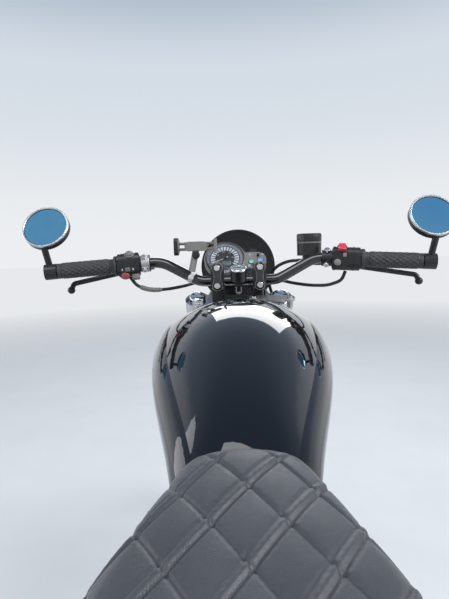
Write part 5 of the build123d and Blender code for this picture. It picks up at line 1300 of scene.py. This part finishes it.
def tyre(name, body, node, axle, width, radius, bead, pitches, rings, slanted, slant):
    """A tyre: bead, sidewalls and a crown with grooves round it (rings) and across it (slanted)."""
    seat = bead + 15.3
    shoulder = (0.40 * width, radius - 0.16 * width)
    side = arc_through((0.28 * width, seat), (0.5 * width, (seat + shoulder[1]) / 2), shoulder, 12)
    crown = arc_through((-shoulder[0], shoulder[1]), (0, radius), shoulder, 200)
    levels = crown_levels(shoulder[0], rings, slanted)
    heights = np.interp(levels, *zip(*crown))
    profile = [(-x, r, False) for x, r in side] + [(x, r, True) for x, r in zip(levels, heights)]
    profile += [(x, r, False) for x, r in side[::-1]]
    profile += [(0.26 * width, seat - 6, False), (-0.26 * width, seat - 6, False)]
    place = placed(axle, RIGHT, AHEAD)
    rows = []
    for x, r, tread in profile:
        in_ring = tread and any(abs(x - g) < RING_FLOOR + 0.1 for g in rings)
        in_slant = tread and any(low - 0.1 <= abs(x) <= high + 0.1 for low, high in slanted)
        lean = slant * min(abs(x), 0.45 * width) / radius
        row = []
        for k in range(pitches):
            for share, groove in TREAD_COLUMNS:
                depth = TREAD_DEPTH if in_ring or (in_slant and groove) else 0.0
                row.append(place @ spot(*polar(r - depth, (k + share) * TURN / pitches + lean), x))
        rows.append(row)
    shape = Shape().grid(rows + rows[:1], capped=False)
    for way in SIDES:
        for step, proud in WALL_RIBS:
            x, r = side[step]
            rib = [(r - 1, way * (x - 0.4)), (r, way * (x + proud)), (r + 1, way * (x - 0.4))]
            shape.lathe(place, rib, 180, True)
    shape.piece(name, "tyre", body, angle=40, replaces=(node,))


tyre("front_tread", "front_wheel", "front_tyre", FRONT_AXLE, 100, 331, 241.3, 60,
     (-16, 0, 16), ((20.5, 37),), -0.55)
tyre("rear_tread", "rear_wheel", "rear_tyre", REAR_AXLE, 120, 336, 228.6, 52,
     (-20.5, 20.5), ((4.5, 16.5), (25, 44)), 0.80)

SPOKES = 36
RIM_X = 6
NIPPLE = [(1.9, 0), (2.7, 0.8, hexed), (2.7, 6, hexed), (3.1, 6.6), (3.1, 13.5)]


def nipples(name, body, axle, flanges, rim_r, lean):
    """A nipple where each spoke meets the rim; flanges gives (x, radius) for the left and right."""
    shape = Shape()
    for i in range(SPOKES):
        side = 1 if i % 2 else -1
        sweep = 1 if (i // 2) % 2 else -1
        outer = TURN * i / SPOKES
        flange_x, flange_r = flanges[side > 0]
        start = axle + spot(flange_x, *polar(flange_r, outer + sweep * math.radians(lean)))
        end = axle + spot(side * RIM_X, *polar(rim_r, outer))
        way = (end - start).normalized()
        shape.lathe(placed(end - way * NIPPLE[-1][1] * MM, way), NIPPLE, 12)
    shape.piece(name, "bright_steel", body)


nipples("front_nipples", "front_wheel", FRONT_AXLE, ((-41, 36), (41, 36)), 222.7, 55)
nipples("rear_nipples", "rear_wheel", REAR_AXLE, ((-48, 56), (38, 90)), 210, 30)


def round_axle(centre, x, radius, count, way, node, turn):
    """Places round a centre, landed on a node from the side."""
    return [landed(centre + spot(x, *polar(radius, TURN * k / count + turn)), RIGHT * way, node)
            for k in range(count)]


bolts("disc_bolts", round_axle(FRONT_AXLE, 90, 45.5, 6, -1, "front_disc", 0.3), Shape.socket_head, 6.2, 6,
      "front_wheel")
bolts("sprocket_bolts", round_axle(REAR_AXLE, -130, 52, 6, 1, "rear_sprocket", 0.3), Shape.hex_head, 6.8, 6.2,
      "rear_wheel")

VALVE_TURN = math.radians(5)
VALVE = [(5.2, 0), (4.8, 6), (3, 8), (3, 24), (4, 24.5), (4, 34), (3, 35.5)]
for name, body, axle, rim_r in (("front_valve", "front_wheel", FRONT_AXLE, 218.5),
                                ("rear_valve", "rear_wheel", REAR_AXLE, 205.8)):
    way = Vector((0, *polar(1, VALVE_TURN)))
    Shape().lathe(placed(axle + way * (rim_r + 4) * MM, -way), VALVE, 20).piece(name, "black_rubber", body)


# Engine, exhaust and frame fastenings

# Round covers: side, centre's y and z, the screws' radius, count and turn, and the ring's radius or 0
COVERS = ((1, -20, 362, 80, 9, 0.2, 52), (1, 120, 366, 50, 6, 0.1, 0), (-1, 90, 356, 76, 8, 0.3, 50))
HEAD_NUTS_X, HEAD_NUTS_Y = (-88, -30, 30, 88), (64, 166)
PLUG_X = 46
PLUG = [(10.5, 0, hexed), (10.5, 6, hexed), (6.8, 7), (5.6, 20), (5, 22)]
PLUG_CAP = [(7, 14), (9, 15), (9, 34), (7.8, 38), (3, 40)]
OIL_KNURL = knurled(20, 0.03)
OIL_CAP = [(15, 0), (16.5, 1, OIL_KNURL), (16.5, 9, OIL_KNURL), (14, 10.8), (2, 11)]


def engine_fittings():
    """Screws and rings on the side covers, nuts and plugs on the head, oil caps and carburettor screws."""
    screws, discs = [], Shape()
    for side, y, z, radius, count, turn, ring_r in COVERS:
        screws += round_axle(spot(0, y, z), side * 300, radius, count, -side, "engine_cases", turn)
        place = landed(spot(side * 300, y, z), -RIGHT * side, "engine_cases")
        if ring_r and place is not None:
            discs.ring(place, ring_r * 0.80, ring_r, -0.5, 1.2, 72)
    bolts("cover_screws", screws, Shape.socket_head, 4.8, 4.6, "frame")
    discs.piece("cover_rings", "raw_alloy", "frame")
    nuts = [landed(spot(x, y, 800), -UP, "engine_head", x_way=RIGHT)
            for x in HEAD_NUTS_X for y in HEAD_NUTS_Y]
    bolts("head_nuts", nuts, Shape.cap_nut, 7.2, 11, "frame")
    plugs = [landed(spot(side * PLUG_X, 320, 705), -AHEAD, "engine_head") for side in SIDES]
    on_each("spark_plugs", "ceramic", plugs, Shape.lathe, PLUG, 24, body="frame", slot="satin_alloy")
    on_each("plug_caps", "black_rubber", plugs, Shape.lathe, PLUG_CAP, 28, body="frame")
    fillers = [landed(spot(x, y, 600), -UP, "engine_cases", x_way=RIGHT) for x, y in ((80, -95), (-70, -110))]
    on_each("oil_caps", "satin_black", fillers, Shape.lathe, OIL_CAP, 80, body="frame")
    floats = [landed(spot(side * FILTER_X + x, y, 720), -UP, "carburettors", x_way=RIGHT)
              for side in SIDES for x in (-18, 18) for y in (-8, -38)]
    on_each("carburettor_screws", "brass", floats, Shape.socket_head, 2.6, 2.4, body="frame")


# The cone filters behind the carburettors: centre, ends and radii
FILTER_X, FILTER_Z, FILTER_FRONT, FILTER_LONG = 46, 651, -56, 61
FILTER_FRONT_R, FILTER_BACK_R, FILTER_PLEATS = 26.6, 38, 40


def cone_filters():
    """Pleated gauze between a rubber collar and a polished end."""
    def pleat(a):
        return 1 + 0.022 * abs(math.sin(FILTER_PLEATS * a / 2))

    slope = (FILTER_BACK_R - FILTER_FRONT_R) / FILTER_LONG
    cone = [(FILTER_FRONT_R + slope * z + 0.2, z, pleat) for z in (6, 22, 38, FILTER_LONG - 9)]
    back = [(FILTER_BACK_R + r, FILTER_LONG + z)
            for r, z in ((-1.2, -10), (0.8, -9.2), (1, -1), (-1, 1.2), (-6, 1.4), (-10, 0.4))]
    back += [(r, FILTER_LONG + z) for r, z in ((10, 0.4), (9, 2), (2, 2.2))]
    front = [(FILTER_FRONT_R + r, z) for r, z in ((-0.4, -4), (1.2, -3.6), (2.6, 5), (0.8, 7.2))]
    places = [placed(spot(side * FILTER_X, FILTER_FRONT, FILTER_Z), -AHEAD) for side in SIDES]
    for name, material, profile, count, angle in (
            ("filter_gauze", "filter_gauze", cone, FILTER_PLEATS * 6, 60),
            ("filter_ends", "hard_chrome", back, 72, 40),
            ("filter_collars", "black_rubber", front, 64, 40)):
        on_each(name, material, places, Shape.lathe, profile, count, body="frame", angle=angle)


def frame_bolts():
    """Nuts on the shock mounts and the axles, and bolts on the plate and the brake caliper."""
    nuts = []
    co = points_of("rear_shocks", 1)
    for level in (co[:, 2].max() - 0.012, co[:, 2].min() + 0.012):
        near = co[abs(co[:, 2] - level) < 0.012]
        y = (near[:, 1].min() + near[:, 1].max()) / 2
        nuts += [landed(Vector((side * 0.40, y, level)), -RIGHT * side, "rear_shocks") for side in SIDES]
    on_each("shock_nuts", "hard_chrome", nuts, Shape.cap_nut, 8.5, 12, body="frame")
    plate = [landed(spot(x, -1200, 655), AHEAD, "rear_mudguard") for x in (-60, 60)]
    bolts("plate_bolts", plate, Shape.hex_head, 5, 3.6, "frame")
    for node, body in (("front_axle", "steering"), ("rear_axle", "frame")):
        centre = sum(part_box(node), Vector()) / 2
        ends = [landed(Vector((side / 2, *centre.yz)), -RIGHT * side, node, x_way=AHEAD) for side in SIDES]
        bolts(node + "_nuts", ends, Shape.hex_head, 12.5, 9, body)
    centre = sum(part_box("brake_caliper"), Vector()) / 2
    places = [landed(Vector((0.3, *centre.yz)) + spot(0, dy, dz), -RIGHT, "brake_caliper")
              for dy, dz in ((-26, 20), (22, -24))]
    bolts("caliper_bolts", places, Shape.socket_head, 6.2, 6)


engine_fittings()
cone_filters()
frame_bolts()


# Floor, light and background

FLOOR_HALF = 30.0
# Where the floor begins and ends turning into the surround, in metres from the bike
FADE_START, FADE_END = 2.2, 8.0
PALE = (0.80, 0.82, 0.84, 1)
# The surround's colours by height
SKY = ((0.02, (0.84, 0.86, 0.88, 1)), (0.34, (0.66, 0.72, 0.79, 1)),
       (0.52, (0.36, 0.44, 0.55, 1)), (0.85, (0.24, 0.31, 0.42, 1)))
# Lights: where they are and look, in metres, their size and their power in watts
LIGHTS = {"key": ((2.6, -0.5, 3.0), (0, 0.1, 0.7), (1.3, 1.3), 80),
          "fill": ((-3.2, 0.6, 1.9), (0, 0.1, 0.6), (2.4, 2.0), 30),
          "top": ((-0.4, -1.2, 3.3), (0, 0.0, 0.8), (1.6, 1.6), 34),
          "back": ((0.4, 3.6, 2.6), (0, 0.3, 0.8), (2.6, 1.2), 34)}


def area_light(name, at, target, size, power):
    data = bpy.data.lights.new(name, "AREA")
    data.shape = "RECTANGLE"
    data.size, data.size_y = size
    data.energy = power
    obj = into_scene(name, data)
    obj.location = at
    obj.rotation_mode = "QUATERNION"
    obj.rotation_quaternion = (Vector(target) - Vector(at)).to_track_quat("-Z", "Y")


def pale_world():
    """A soft pale surround that darkens overhead, the same for the camera, mirrors and glass."""
    world = bpy.data.worlds.new("studio")
    bpy.context.scene.world = world
    world.use_nodes = True
    tree = world.node_tree
    at = grow(tree, "TexCoord", {}, "Generated")
    colour = grow(tree, "ValToRGB", {"Fac": grow(tree, "SeparateXYZ", {"Vector": at}, "Z")}, "Color")
    ramp = colour.node.color_ramp
    ramp.interpolation = "EASE"
    for index, (position, shade) in enumerate((SKY[0], SKY[-1])):
        ramp.elements[index].position, ramp.elements[index].color = position, shade
    for position, shade in SKY[1:-1]:
        ramp.elements.new(position).color = shade
    feed(tree, tree.nodes["Background"], {"Strength": 1.0, "Color": colour})


def fade_far(tree, bsdf):
    """Far from the bike the floor turns as pale as the surround, for the camera, mirrors and glass."""
    at = grow(tree, "TexCoord", {}, "Object")
    far = grow(tree, "VectorMath", {0: at}, "Value", operation="LENGTH")
    path = tree.nodes.new("ShaderNodeLightPath").outputs
    seen = grow(tree, "Math", {0: path["Is Camera Ray"], 1: path["Is Glossy Ray"]}, 0, operation="MAXIMUM")
    seen = grow(tree, "Math", {0: seen, 1: path["Is Transmission Ray"]}, 0, operation="MAXIMUM")
    reach = spread(tree, far, 0, 1, FADE_START, FADE_END)
    share = grow(tree, "Math", {0: reach, 1: seen}, 0, operation="MULTIPLY")
    pale = grow(tree, "Emission", {"Color": PALE}, "Emission")
    surface = grow(tree, "MixShader", {"Fac": share, 1: bsdf.outputs["BSDF"], 2: pale}, "Shader")
    feed(tree, tree.nodes["Material Output"], {"Surface": surface})


def studio():
    mat, tree, bsdf = shader("floor")
    colour = patchy(tree, 3.0, (0.70, 0.70, 0.69), (0.74, 0.74, 0.73), 5)
    feed(tree, bsdf, {"Base Color": colour, "Roughness": 0.7})
    fade_far(tree, bsdf)
    mesh = bpy.data.meshes.new("floor")
    corners = [(x * FLOOR_HALF, y * FLOOR_HALF, 0) for x, y in ((-1, -1), (1, -1), (1, 1), (-1, 1))]
    mesh.from_pydata(corners, [], [(0, 1, 2, 3)])
    mesh.materials.append(mat)
    floor = into_scene("floor", mesh)
    pale_world()
    for name, values in LIGHTS.items():
        area_light(name, *values)


studio()
bpy.context.scene.view_settings.view_transform = "Standard"
